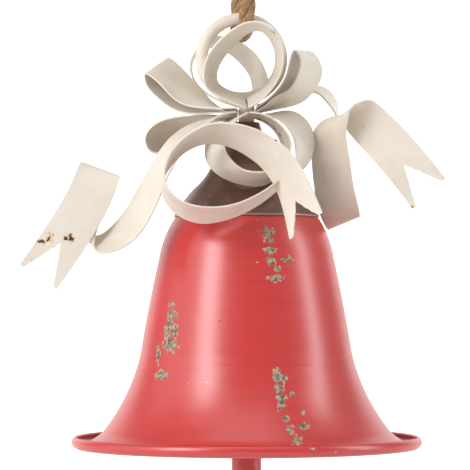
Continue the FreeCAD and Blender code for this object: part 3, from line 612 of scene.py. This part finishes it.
def laid_rope(name, line, at, radius, pitch, side, material, around=72):
    """A three-strand rope laid along a line.

    Each strand is a circle of radius b whose centre lies a from the rope's middle.
    At an angle t from the nearest strand's centre, the outside is at the distance
    a cos t + sqrt(b^2 - a^2 sin^2 t). The strands turn once round in each pitch, and
    each carries small ridges, its yarns, that turn the other way.
    """
    a, b = radius * 0.36, radius * 0.64
    along = unit(np.gradient(line, axis=0))
    out = unit(side - along * (along @ side)[:, None])
    up = np.cross(along, out)
    angle = np.linspace(0.0, 2 * math.pi, around, endpoint=False)[None]
    lay = angle - 2 * math.pi * at[:, None] / pitch
    third = 2 * math.pi / 3
    turn = (lay + third / 2) % third - third / 2
    reach = a * np.cos(turn) + np.sqrt(np.maximum(b * b - (a * np.sin(turn)) ** 2, 0.0))
    groove = 1.0 - np.abs(turn) / (third / 2)
    yarns = 0.045 * radius * np.sin(15 * turn + at[:, None] * 2.6)
    fuzz = 0.03 * radius * np.sin(at[:, None] * 3.7 + 7 * angle) * np.sin(at[:, None] * 1.3)
    reach = np.minimum(reach + yarns + fuzz, radius * 1.04)
    points = (line[:, None] + out[:, None] * (reach * np.cos(angle))[..., None]
              + up[:, None] * (reach * np.sin(angle))[..., None]).reshape(-1, 3)
    faces = grid_faces(len(line), around, False, True)
    points = np.vstack([points, line[0], line[-1]])
    faces = faces.tolist() + end_fans(len(line), around)
    piece = mesh_object(name, points, faces, material)
    strand = (turn + 0 * at[:, None]).ravel() * radius
    add_uv(piece, np.r_[strand, 0.0, 0.0],
           np.r_[(at[:, None] + 0 * angle).ravel(), at[0], at[-1]])
    # Crown is one on each strand's top and nought in the grooves, where the jute gets its painted
    # shade.
    add_attribute(piece, "crown", np.r_[(groove + 0 * at[:, None]).ravel(), 1.0, 1.0])
    return piece


# ---------------------------------------------------------------- finishes


def add_node(tree, kind, inputs=None, out=0, **settings):
    """Add a node, set its properties, give its inputs values or links, and return
    one of its outputs."""
    node = tree.nodes.new("ShaderNode" + kind)
    for name, value in settings.items():
        setattr(node, name, value)
    for key, value in (inputs or {}).items():
        if isinstance(value, bpy.types.NodeSocket):
            tree.links.new(value, node.inputs[key])
        else:
            node.inputs[key].default_value = value
    return node.outputs[out]


def finish_material(name, constants):
    """A new material, its shader with the constants on its sockets, and add_node for
    its tree."""
    material = bpy.data.materials.new(name)
    material.use_nodes = True
    tree = material.node_tree
    tree.nodes.clear()
    surface = add_node(tree, "BsdfPrincipled", constants)
    end = tree.nodes.new("ShaderNodeOutputMaterial")
    tree.links.new(surface, end.inputs["Surface"])
    return material, surface.node, functools.partial(add_node, tree)


def link_finish(shader, links):
    """Link each value to the shader's socket of that name."""
    for key, value in links.items():
        shader.id_data.links.new(value, shader.inputs[key])


def span(low, high, start=0.0, end=1.0):
    """Settings of a range that goes from start to end between low and high."""
    return {"From Min": low, "From Max": high, "To Min": start, "To Max": end}


def below(edge, soft):
    """Settings of a range that is one below the edge and nought above it."""
    return span(edge - soft, edge + soft, 1.0, 0.0)


def chip_field(add, place, chips, rough):
    """How far each point is from the nearest chip: under one is inside it."""
    nearest = None
    for centre, half in chips:
        moved = add("VectorMath", {0: place, 1: centre}, operation="SUBTRACT")
        scaled = add("VectorMath", {0: moved, 1: half}, operation="DIVIDE")
        far = add("VectorMath", {0: scaled}, "Value", operation="LENGTH")
        nearest = far if nearest is None else add("Math", {0: nearest, 1: far},
                                                  operation="MINIMUM")
    wander = add("TexNoise", {"Vector": place, "Scale": rough, "Detail": 3.0, "Roughness": 0.6})
    centred = add("Math", {0: wander, 1: 0.5}, operation="SUBTRACT")
    return add("Math", {0: centred, 1: CHIP_RAGGED, 2: nearest}, operation="MULTIPLY_ADD")


def speck_field(add, place, scale, share, size, soft):
    """Dots in a share of the cells of a scattered pattern: one inside, nought outside."""
    cell = add("TexVoronoi", {"Vector": place, "Scale": scale}, "Distance")
    chosen = add("SeparateColor", {0: cell.node.outputs["Color"]})
    few = add("MapRange", {"Value": chosen, **below(share, 0.002)}, **SMOOTH)
    dot = add("MapRange", {"Value": cell, **below(size, soft)}, **SMOOTH)
    return add("Math", {0: dot, 1: few}, operation="MULTIPLY")


def shell_depth(height):
    """Radius of the bell's outside at a height, for placing a chip on its front."""
    outline = outline_points(SHELL_OUTLINE, CROWN, 1.0)
    body = outline[outline[:, 0] > SHELL_OUTLINE[1][0]]
    body = body[: int(np.argmin(body[:, 1])) + 1]
    return float(np.interp(height, body[::-1, 1], body[::-1, 0]))


def red_paint():
    """Satin alkyd enamel sprayed on spun steel, then knocked and rubbed to look old.

    It shows fine level rings from spinning, soft wide highlights, and chips down to
    weathered metal, each with a pale border where the undercoat shows.
    """
    tint = colours()
    material, shader, add = finish_material("Chipped red enamel on spun steel", {"IOR": 1.85})
    place = add("TexCoord", out="Object")
    # Spinning rings 1 to 2 mm apart: the noise is stretched level and squeezed upright.
    level = add("Mapping", {"Vector": place, "Scale": (14.0, 14.0, 1150.0)})
    rings = add("TexNoise", {"Vector": level, "Scale": 1.0, "Detail": 3.0, "Roughness": 0.65})
    blotch = add("TexNoise", {"Vector": place, "Scale": 26.0, "Detail": 4.0, "Roughness": 0.55})
    base = add("Mix", {0: blotch, 6: tint.red, 7: tint.red_deep}, 2, **COLOUR)
    shade = add("MapRange", {"Value": rings, **span(0.25, 0.75, 0.90, 1.08)})
    base = add("VectorMath", {0: base, 3: shade}, operation="SCALE")
    chips = []
    for x, z, across, up in SHELL_CHIPS:
        depth = math.sqrt(max(shell_depth(z) ** 2 - x * x, 1.0))
        chips.append(((x * MM, -depth * MM, z * MM), (across * MM, 8 * MM, up * MM)))
    field = chip_field(add, place, chips, 420.0)
    # The same wear at random places, a few centimetres apart, for the sides and back.
    patch = add("TexNoise", {"Vector": place, "Scale": 34.0, "Detail": 1.0, "Roughness": 0.4})
    grain = add("TexNoise", {"Vector": place, "Scale": 260.0, "Detail": 3.0, "Roughness": 0.6})
    behind = add("SeparateXYZ", {0: place}, 1)
    rear = add("MapRange", {"Value": behind, **span(-0.03, 0.01, 1.0, 0.0)})
    spread = add("Math", {0: patch, 1: grain}, operation="ADD")
    scattered = add("MapRange", {"Value": spread, **span(1.26, 1.36, 1.9, 0.6)})
    scattered = add("Math", {0: rear, 1: 1.3, 2: scattered}, operation="MULTIPLY_ADD")
    field = add("Math", {0: field, 1: scattered}, operation="MINIMUM")
    bared = add("MapRange", {"Value": field, **below(0.98, 0.05)}, **SMOOTH)
    border = add("MapRange", {"Value": field, **below(1.22, 0.12)}, **SMOOTH)
    # Rust and grey oxide in the chips, in patches one to two millimetres across.
    metal = add("TexNoise", {"Vector": place, "Scale": 520.0, "Detail": 4.0, "Roughness": 0.65})
    patina = add("MapRange", {"Value": metal, **span(0.42, 0.58)})
    core = add("Mix", {0: patina, 6: tint.rust, 7: tint.bare}, 2, **COLOUR)
    pale = add("MapRange", {"Value": metal, **span(0.56, 0.72)})
    core = add("Mix", {0: pale, 6: core, 7: tint.primer}, 2, **COLOUR)
    primed = add("Math", {0: border, 1: patina}, operation="MULTIPLY")
    base = add("Mix", {0: primed, 6: base, 7: tint.primer}, 2, **COLOUR)
    base = add("Mix", {0: bared, 6: base, 7: core}, 2, **COLOUR)
    # Specks under half a millimetre across, about one in each square centimetre.
    for scale, code, share in ((210.0, "#F0B9A0", 0.055), (150.0, "#5A1518", 0.04)):
        dot = speck_field(add, place, scale, share, 0.085, 0.03)
        base = add("Mix", {0: dot, 6: base, 7: hex_to_linear(code)}, 2, **COLOUR)
    gloss = add("MapRange", {"Value": rings, **span(0.2, 0.8, 0.29, 0.36)})
    gloss = add("Mix", {0: border, 2: gloss, 3: 0.7}, data_type="FLOAT")
    turned = add("Bump", {"Height": rings, "Strength": 0.22, "Distance": 0.00006})
    bump = add("Bump", {"Height": border, "Strength": 0.9, "Distance": 0.00025,
                        "Normal": turned}, invert=True)
    link_finish(shader, {"Base Color": base, "Roughness": gloss, "Normal": bump})
    return material


def bronze_lacquer():
    """Dark brown lacquer on a spun steel cap, rubbed pale in random patches, with a pale grey
    painted highlight along its foot.
    """
    tint = colours()
    material, shader, add = finish_material("Brown bronze lacquer on spun steel",
                                            {"Metallic": 0.7})
    place = add("TexCoord", out="Object")
    level = add("Mapping", {"Vector": place, "Scale": (16.0, 16.0, 800.0)})
    rings = add("TexNoise", {"Vector": level, "Scale": 1.0, "Detail": 4.0, "Roughness": 0.6})
    cloud = add("TexNoise", {"Vector": place, "Scale": 55.0, "Detail": 5.0, "Roughness": 0.6})
    height = add("SeparateXYZ", {0: place}, 2)
    # Painted highlight: pale grey along the cap's lowest millimetre and a half.
    foot = CAP_BOX[0][2] * MM
    foot_highlight = add("MapRange", {"Value": height, **span(foot + 0.0016, foot + 0.0006, 0.0, 0.9)})
    rubbed = add("MapRange", {"Value": cloud, **span(0.52, 0.72, 0.0, 0.32)})
    base = add("Mix", {0: rubbed, 6: tint.bronze, 7: tint.bronze_rubbed_and_highlight}, 2, **COLOUR)
    base = add("Mix", {0: foot_highlight, 6: base, 7: tint.bronze_rubbed_and_highlight}, 2, **COLOUR)
    dot = speck_field(add, place, 170.0, 0.05, 0.13, 0.04)
    base = add("Mix", {0: dot, 6: base, 7: hex_to_linear("#B58E70")}, 2, **COLOUR)
    gloss = add("MapRange", {"Value": cloud, **span(0.3, 0.7, 0.32, 0.5)})
    bump = add("Bump", {"Height": rings, "Strength": 0.5, "Distance": 0.00005})
    link_finish(shader, {"Base Color": base, "Roughness": gloss, "Normal": bump})
    return material


def cream_paint(name, chips, has_edges):
    """Off-white satin enamel brushed on steel strip, darker in random cloudy patches.

    A thin painted highlight runs along the cut edges, and the coat has come off in a few places
    down to rusty metal.
    """
    tint = colours()
    material, shader, add = finish_material(name, {"IOR": 1.48})
    place = add("TexCoord", out="Object")
    cloud = add("TexNoise", {"Vector": place, "Scale": 38.0, "Detail": 5.0, "Roughness": 0.6})
    # A darker cream in random cloudy patches.
    darker_patch = add("MapRange", {"Value": cloud, **span(0.42, 0.72, 0.0, 0.85)})
    base = add("Mix", {0: darker_patch, 6: tint.cream, 7: tint.cream_shade}, 2, **COLOUR)
    height = cloud
    if has_edges:
        edge = add("Attribute", out="Fac", attribute_name="edge")
        wander = add("TexNoise", {"Vector": place, "Scale": 300.0, "Detail": 3.0,
                                  "Roughness": 0.6})
        # Painted highlight: a thin paler line along each cut edge.
        rim = add("MapRange", {"Value": edge, **below(0.00035, 0.0003)}, **SMOOTH)
        rim = add("Math", {0: rim, 1: 0.25}, operation="MULTIPLY")
        base = add("Mix", {0: rim, 6: base, 7: hex_to_linear("#F6EFE4")}, 2, **COLOUR)
        nicks = add("MapRange", {"Value": wander, **span(0.68, 0.73)})
        close = add("MapRange", {"Value": edge, **below(0.0005, 0.0003)}, **SMOOTH)
        nicked = add("Math", {0: nicks, 1: close}, operation="MULTIPLY")
        base = add("Mix", {0: nicked, 6: base, 7: tint.rust}, 2, **COLOUR)
    # Fine dark fly-specks and dust, half a millimetre across.
    dot = speck_field(add, place, 190.0, 0.03, 0.09, 0.04)
    dot = add("Math", {0: dot, 1: 0.6}, operation="MULTIPLY")
    base = add("Mix", {0: dot, 6: base, 7: hex_to_linear("#8C7A63")}, 2, **COLOUR)
    if chips:
        spots = [(tuple((BOW + centre) * MM), (radius * MM,) * 3) for centre, radius in chips]
        field = chip_field(add, place, spots, 520.0)
        bared = add("MapRange", {"Value": field, **below(0.80, 0.06)}, **SMOOTH)
        border = add("MapRange", {"Value": field, **below(1.2, 0.14)}, **SMOOTH)
        faded = add("Math", {0: border, 1: 0.8}, operation="MULTIPLY")
        base = add("Mix", {0: faded, 6: base, 7: tint.scorched}, 2, **COLOUR)
        metal = add("TexNoise", {"Vector": place, "Scale": 1100.0, "Detail": 2.0,
                                 "Roughness": 0.7})
        rusty = add("Mix", {0: metal, 6: hex_to_linear("#241710"), 7: tint.rust}, 2, **COLOUR)
        base = add("Mix", {0: bared, 6: base, 7: rusty}, 2, **COLOUR)
        height = add("Math", {0: border, 1: -2.0, 2: height}, operation="MULTIPLY_ADD")
    gloss = add("MapRange", {"Value": cloud, **span(0.3, 0.7, 0.38, 0.52)})
    bump = add("Bump", {"Height": height, "Strength": 0.45, "Distance": 0.0001})
    link_finish(shader, {"Base Color": base, "Roughness": gloss, "Normal": bump})
    return material


def jute_fibre():
    """Jute: coarse plant fibre spun into yarns and laid in three strands.

    Dull and golden, with paler and darker fibres that run along each strand, and painted shade in
    the grooves where the strands meet.
    """
    tint = colours()
    material, shader, add = finish_material(
        "Twisted natural jute",
        {"IOR": 1.45, "Sheen Weight": 0.25, "Sheen Roughness": 0.6, "Roughness": 0.9})
    strand = add("UVMap", uv_map="UVMap")
    # Fibres a third of a millimetre wide and a centimetre long, along the strand.
    drawn = add("Mapping", {"Vector": strand, "Scale": (1900.0, 260.0, 1.0)})
    fibres = add("TexNoise", {"Vector": drawn, "Scale": 1.0, "Detail": 3.0, "Roughness": 0.7})
    place = add("TexCoord", out="Object")
    cloud = add("TexNoise", {"Vector": place, "Scale": 160.0, "Detail": 3.0, "Roughness": 0.6})
    crown = add("Attribute", out="Fac", attribute_name="crown")
    tone = add("MapRange", {"Value": fibres, **span(0.35, 0.68)})
    base = add("Mix", {0: tone, 6: tint.jute_dark_and_groove_shade, 7: tint.jute}, 2, **COLOUR)
    pale = add("MapRange", {"Value": cloud, **span(0.5, 0.75, 0.0, 0.6)})
    base = add("Mix", {0: pale, 6: base, 7: hex_to_linear("#E3C797")}, 2, **COLOUR)
    # Painted shade: darker in the grooves between the strands.
    groove_shade = add("MapRange", {"Value": crown, **span(0.0, 0.35, 0.6, 0.0)})
    base = add("Mix", {0: groove_shade, 6: base, 7: tint.jute_dark_and_groove_shade}, 2, **COLOUR)
    bump = add("Bump", {"Height": fibres, "Strength": 0.8, "Distance": 0.0004})
    link_finish(shader, {"Base Color": base, "Normal": bump})
    return material


def zinc_plate():
    """Zinc plating on turned and bent steel: dull grey with a cloudy bloom."""
    tint = colours()
    material, shader, add = finish_material("Dull zinc plate on steel", {"Metallic": 1.0})
    place = add("TexCoord", out="Object")
    cloud = add("TexNoise", {"Vector": place, "Scale": 220.0, "Detail": 4.0, "Roughness": 0.6})
    base = add("Mix", {0: cloud, 6: tint.zinc, 7: hex_to_linear("#BDBDB8")}, 2, **COLOUR)
    gloss = add("MapRange", {"Value": cloud, **span(0.3, 0.7, 0.32, 0.5)})
    link_finish(shader, {"Base Color": base, "Roughness": gloss})
    return material


def hand_over(piece, node, body):
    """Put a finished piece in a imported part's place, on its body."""
    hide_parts(node)
    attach(piece, body)


def made_once(name, maker):
    """The named material, made the first time that it is asked for."""
    return bpy.data.materials.get(name) or maker()


# ---------------------------------------------------------------- operators


class ORNAMENT_OT_camera(bpy.types.Operator):
    """Set up the camera, level with the bell's skirt and a good metre in front."""

    bl_idname = "ornament.camera"
    bl_label = "Camera"

    def execute(self, context):
        data = bpy.data.cameras.new("camera")
        data.lens, data.sensor_width = 203.7, 36.0
        data.clip_start, data.clip_end = 0.05, 30.0
        camera = bpy.data.objects.new("camera", data)
        camera.location = (-0.00575, -1.330, -0.222)
        camera.rotation_euler = (math.radians(91.314), 0.0, 0.0)
        context.scene.collection.objects.link(camera)
        context.scene.camera = camera
        return {"FINISHED"}


class ORNAMENT_OT_rope(bpy.types.Operator):
    """Lay the jute rope along its route and tie its knot."""

    bl_idname = "ornament.rope"
    bl_label = "Rope and knot"

    def execute(self, context):
        diameter = sizes().rope_diameter / MM
        pitch = sizes().rope_pitch / MM
        material = made_once("Twisted natural jute", jute_fibre)
        line, at = even_line(route_line(ROPE_ROUTE), ROPE_STEP)
        rope = laid_rope("jute_rope", line, at, diameter / 2, pitch,
                         np.array([1.0, 0.0, 0.0]), material)
        knot = self.tie_knot(diameter, material)
        hand_over(rope, "rope", "hanger")
        hand_over(knot, "rope_knot", "hanger")
        return {"FINISHED"}

    def tie_knot(self, diameter, material):
        """An overhand knot: its line is a trefoil, (sin t + 2 sin 2t) across,
        (cos t - 2 cos 2t) up and -sin 3t in depth, drawn tight."""
        radius = diameter * 0.46
        turn = np.linspace(0.0, 2 * math.pi, 400, endpoint=False)
        tight = (10.2 - radius) / 3.0
        line = np.column_stack([tight * (np.sin(turn) + 2 * np.sin(2 * turn)),
                                -radius * 0.98 * np.sin(3 * turn),
                                -tight * (np.cos(turn) - 2 * np.cos(2 * turn))])
        line = np.vstack([line, line[:1]]) + KNOT_AT
        line, at = even_line(line, ROPE_STEP)
        pitch = at[-1] / round(at[-1] / (sizes().rope_pitch / MM))
        knot = laid_rope("jute_knot", line, at, radius, pitch, np.array([0.1, 1.0, 0.05]),
                         material, around=60)
        # The rope's two ends meet inside the knot, so a straight stem joins them.
        stem, at = even_line(np.array([ROPE_ROUTE[0], ROPE_ROUTE[-1]]), ROPE_STEP)
        core = laid_rope("knot_stem", stem, at, diameter / 2, sizes().rope_pitch / MM,
                         np.array([1.0, 0.0, 0.0]), material)
        with bpy.context.temp_override(active_object=knot,
                                       selected_editable_objects=[knot, core]):
            bpy.ops.object.join()
        return knot


class ORNAMENT_OT_ring(bpy.types.Operator):
    """Bend the round bar into the hanging ring."""

    bl_idname = "ornament.ring"
    bl_label = "Hanging ring"

    def execute(self, context):
        wire = sizes().ring_wire / MM / 2
        low, high = RING_BOX
        centre = (low + high) / 2
        mean = (high[0] - low[0]) / 2 - wire
        around = np.linspace(0.0, 2 * math.pi, 180, endpoint=False)[:, None]
        section = np.linspace(0.0, 2 * math.pi, 36, endpoint=False)[None]
        # The ring's middle is a circle, and its bar is a circle square to it; paint
        # makes the bar up to a twentieth of a millimetre uneven.
        bar = wire - 0.05 + 0.05 * np.sin(7 * around + 1.0) * np.sin(3 * section + around)
        reach = mean + bar * np.cos(section)
        points = np.stack([centre[0] + reach * np.sin(around),
                           centre[1] + bar * np.sin(section),
                           centre[2] + reach * np.cos(around)], -1).reshape(-1, 3)
        material = cream_paint("Cream enamel on steel bar", [((18.5, -3.0, 36.0), 0.9)], False)
        ring = mesh_object("ring_bar", points, grid_faces(180, 36, True, True), material)
        hand_over(ring, "hanging_ring", "bell")
        return {"FINISHED"}


class ORNAMENT_OT_bow(bpy.types.Operator):
    """Curl the nine metal ribbons of the bow."""

    bl_idname = "ornament.bow"
    bl_label = "Ribbon bow"

    def execute(self, context):
        for name in RIBBONS:
            label = "Cream enamel on strip, " + name.replace("_", " ")
            material = cream_paint(label, RIBBON_CHIPS.get(name), True)
            piece = ribbon_piece(name, material)
            hand_over(piece, name, "bell")
        return {"FINISHED"}


class ORNAMENT_OT_cap(bpy.types.Operator):
    """Spin the dark cap."""

    bl_idname = "ornament.cap"
    bl_label = "Crown cap"

    def execute(self, context):
        outer = outline_points(CAP_OUTLINE, CAP_TOP, 0.7)
        outline = sheet_outline(outer, sizes().cap_gauge / MM)
        cap = turned_piece("spun_cap", outline, 200, True, bronze_lacquer(), wobble=0.05)
        hand_over(cap, "crown_cap", "bell")
        return {"FINISHED"}


class ORNAMENT_OT_bell(bpy.types.Operator):
    """Spin the red bell with its gutter rim."""

    bl_idname = "ornament.bell"
    bl_label = "Bell"

    def execute(self, context):
        outer = outline_points(SHELL_OUTLINE, CROWN, 0.9)
        # A shallow groove that the spinning tool left round the body.
        groove = np.exp(-((outer[:, 1] - CROWN + 78.5) / 0.9) ** 2)
        outer[:, 0] -= 0.16 * groove * (outer[:, 0] > 40.0)
        outline = sheet_outline(outer, sizes().shell_gauge / MM)
        material = made_once("Chipped red enamel on spun steel", red_paint)
        bell = turned_piece("spun_bell", outline, 240, True, material, wobble=0.10)
        hand_over(bell, "bell_shell", "bell")
        return {"FINISHED"}


class ORNAMENT_OT_clapper(bpy.types.Operator):
    """Turn the clapper's rod and ball."""

    bl_idname = "ornament.clapper"
    bl_label = "Clapper"

    def execute(self, context):
        material = made_once("Chipped red enamel on spun steel", red_paint)
        rod = turned_piece("clapper_stem", outline_points(ROD_OUTLINE, ROD_BOX[1][2], 0.8),
                           64, False, material)
        low, high = BALL_BOX
        radius = (high[0] - low[0]) / 2
        centre = low[2] + radius
        hole = ROD_BOX[1][0] + 0.02
        # From the socket's rim over the ball to its foot, then the socket's own wall.
        start = math.asin(hole / radius)
        angle = np.linspace(start, math.pi, 90)
        ball = np.column_stack([radius * np.sin(angle), centre + radius * np.cos(angle)])
        socket = [(0.0, ROD_BOX[0][2]), (hole, ROD_BOX[0][2])]
        outline = np.vstack([socket, ball])
        outline[-1, 0] = 0.0
        bob = turned_piece("clapper_bob", outline, 96, False, material)
        for piece, node in ((rod, "clapper_rod"), (bob, "clapper_ball")):
            hand_over(piece, node, "clapper")
        return {"FINISHED"}


class ORNAMENT_OT_hardware(bpy.types.Operator):
    """Finish the collar, stud, washer, nut and links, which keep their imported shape."""

    bl_idname = "ornament.hardware"
    bl_label = "Hardware"

    def execute(self, context):
        steel = zinc_plate()
        cream = cream_paint("Cream enamel on collar", None, False)
        for node in ("stud", "crown_washer", "crown_nut", "clapper_eye", "clapper_link",
                     "clapper_hook"):
            self.paint(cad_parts[node], steel)
        self.paint(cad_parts["bow_collar"], cream)
        return {"FINISHED"}

    def paint(self, piece, material):
        if not piece.data.materials:
            piece.data.materials.append(material)
        for index in range(len(piece.data.materials)):
            piece.data.materials[index] = material


class ORNAMENT_OT_stage(bpy.types.Operator):
    """Lay the pale floor that curves up behind, and set the soft lights."""

    bl_idname = "ornament.stage"
    bl_label = "Studio"

    def execute(self, context):
        # The floor runs level, turns up in a quarter circle and goes on upright.
        bend = np.linspace(0.0, math.pi / 2, 24)
        floor, reach, curve = -620.0, 5000.0, 1500.0
        depth = np.r_[-6500.0, reach + curve * np.sin(bend), reach + curve]
        height = np.r_[floor, floor + curve * (1 - np.cos(bend)), 5000.0]
        wide = np.array([-6500.0, 6500.0])
        points = np.stack([np.broadcast_to(wide, (len(depth), 2)),
                           np.broadcast_to(depth[:, None], (len(depth), 2)),
                           np.broadcast_to(height[:, None], (len(depth), 2))], -1)
        faces = grid_faces(len(depth), 2, False, False)[:, ::-1]
        paper = tuple(colours().paper)
        material, shader, add = finish_material(
            "Matt white studio paper",
            {"Roughness": 0.95, "Base Color": paper, "Emission Color": paper})
        behind = add("SeparateXYZ", {0: add("TexCoord", out="Object")}, 1)
        glow = add("MapRange", {"Value": behind, **span(0.4, 1.5, 0.0, PAPER_GLOW)})
        link_finish(shader, {"Emission Strength": glow})
        sweep = mesh_object("studio_sweep", points.reshape(-1, 3), faces, material)
        for name, place, size, watts in LIGHTS:
            self.soft_light(context, name, place, size, watts)
        world = bpy.data.worlds.new("studio_air")
        world.use_nodes = True
        sky = world.node_tree.nodes["Background"]
        sky.inputs["Color"].default_value = (1.0, 1.0, 1.0, 1.0)
        sky.inputs["Strength"].default_value = AIR_STRENGTH
        context.scene.world = world
        context.scene.view_settings.view_transform = "Standard"
        return {"FINISHED"}

    def soft_light(self, context, name, place, size, watts):
        """A rectangle of light that faces the middle of the bell."""
        data = bpy.data.lights.new(name, "AREA")
        data.shape, data.energy = "RECTANGLE", watts
        data.size, data.size_y = size
        light = bpy.data.objects.new(name, data)
        context.scene.collection.objects.link(light)
        light.visible_camera = False
        aim = np.array([0.0, 0.0, -0.23]) - np.array(place)
        light.location = place
        yaw = math.atan2(aim[0], aim[1])
        pitch = math.atan2(aim[2], math.hypot(aim[0], aim[1]))
        light.rotation_euler = (math.pi / 2 + pitch, 0.0, -yaw)


class ORNAMENT_PT_panel(bpy.types.Panel):
    """Lists the ornament's settings and the steps that make it."""

    bl_label = "Christmas Bell Ornament"
    bl_idname = "ORNAMENT_PT_panel"
    bl_space_type = "VIEW_3D"
    bl_region_type = "UI"
    bl_category = "Bell"

    def draw(self, context):
        layout = self.layout
        for group in (context.scene.ornament_sizes, context.scene.ornament_colours):
            column = layout.column(align=True)
            for key in group.__annotations__:
                column.prop(group, key)
        for step in STEPS:
            layout.operator(step.bl_idname)


STEPS = (
    ORNAMENT_OT_camera,
    ORNAMENT_OT_rope,
    ORNAMENT_OT_ring,
    ORNAMENT_OT_bow,
    ORNAMENT_OT_cap,
    ORNAMENT_OT_bell,
    ORNAMENT_OT_clapper,
    ORNAMENT_OT_hardware,
    ORNAMENT_OT_stage,
)
CLASSES = (OrnamentSizes, OrnamentColours, *STEPS, ORNAMENT_PT_panel)


def register():
    for cls in CLASSES:
        bpy.utils.register_class(cls)
    bpy.types.Scene.ornament_sizes = bpy.props.PointerProperty(type=OrnamentSizes)
    bpy.types.Scene.ornament_colours = bpy.props.PointerProperty(type=OrnamentColours)


def unregister():
    del bpy.types.Scene.ornament_colours
    del bpy.types.Scene.ornament_sizes
    for cls in reversed(CLASSES):
        bpy.utils.unregister_class(cls)


def main():
    """Make every piece in order."""
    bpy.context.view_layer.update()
    register()
    for step in STEPS:
        getattr(bpy.ops.ornament, step.bl_idname.split(".")[1])()
    bpy.context.view_layer.update()


if __name__ == "__main__":
    main()
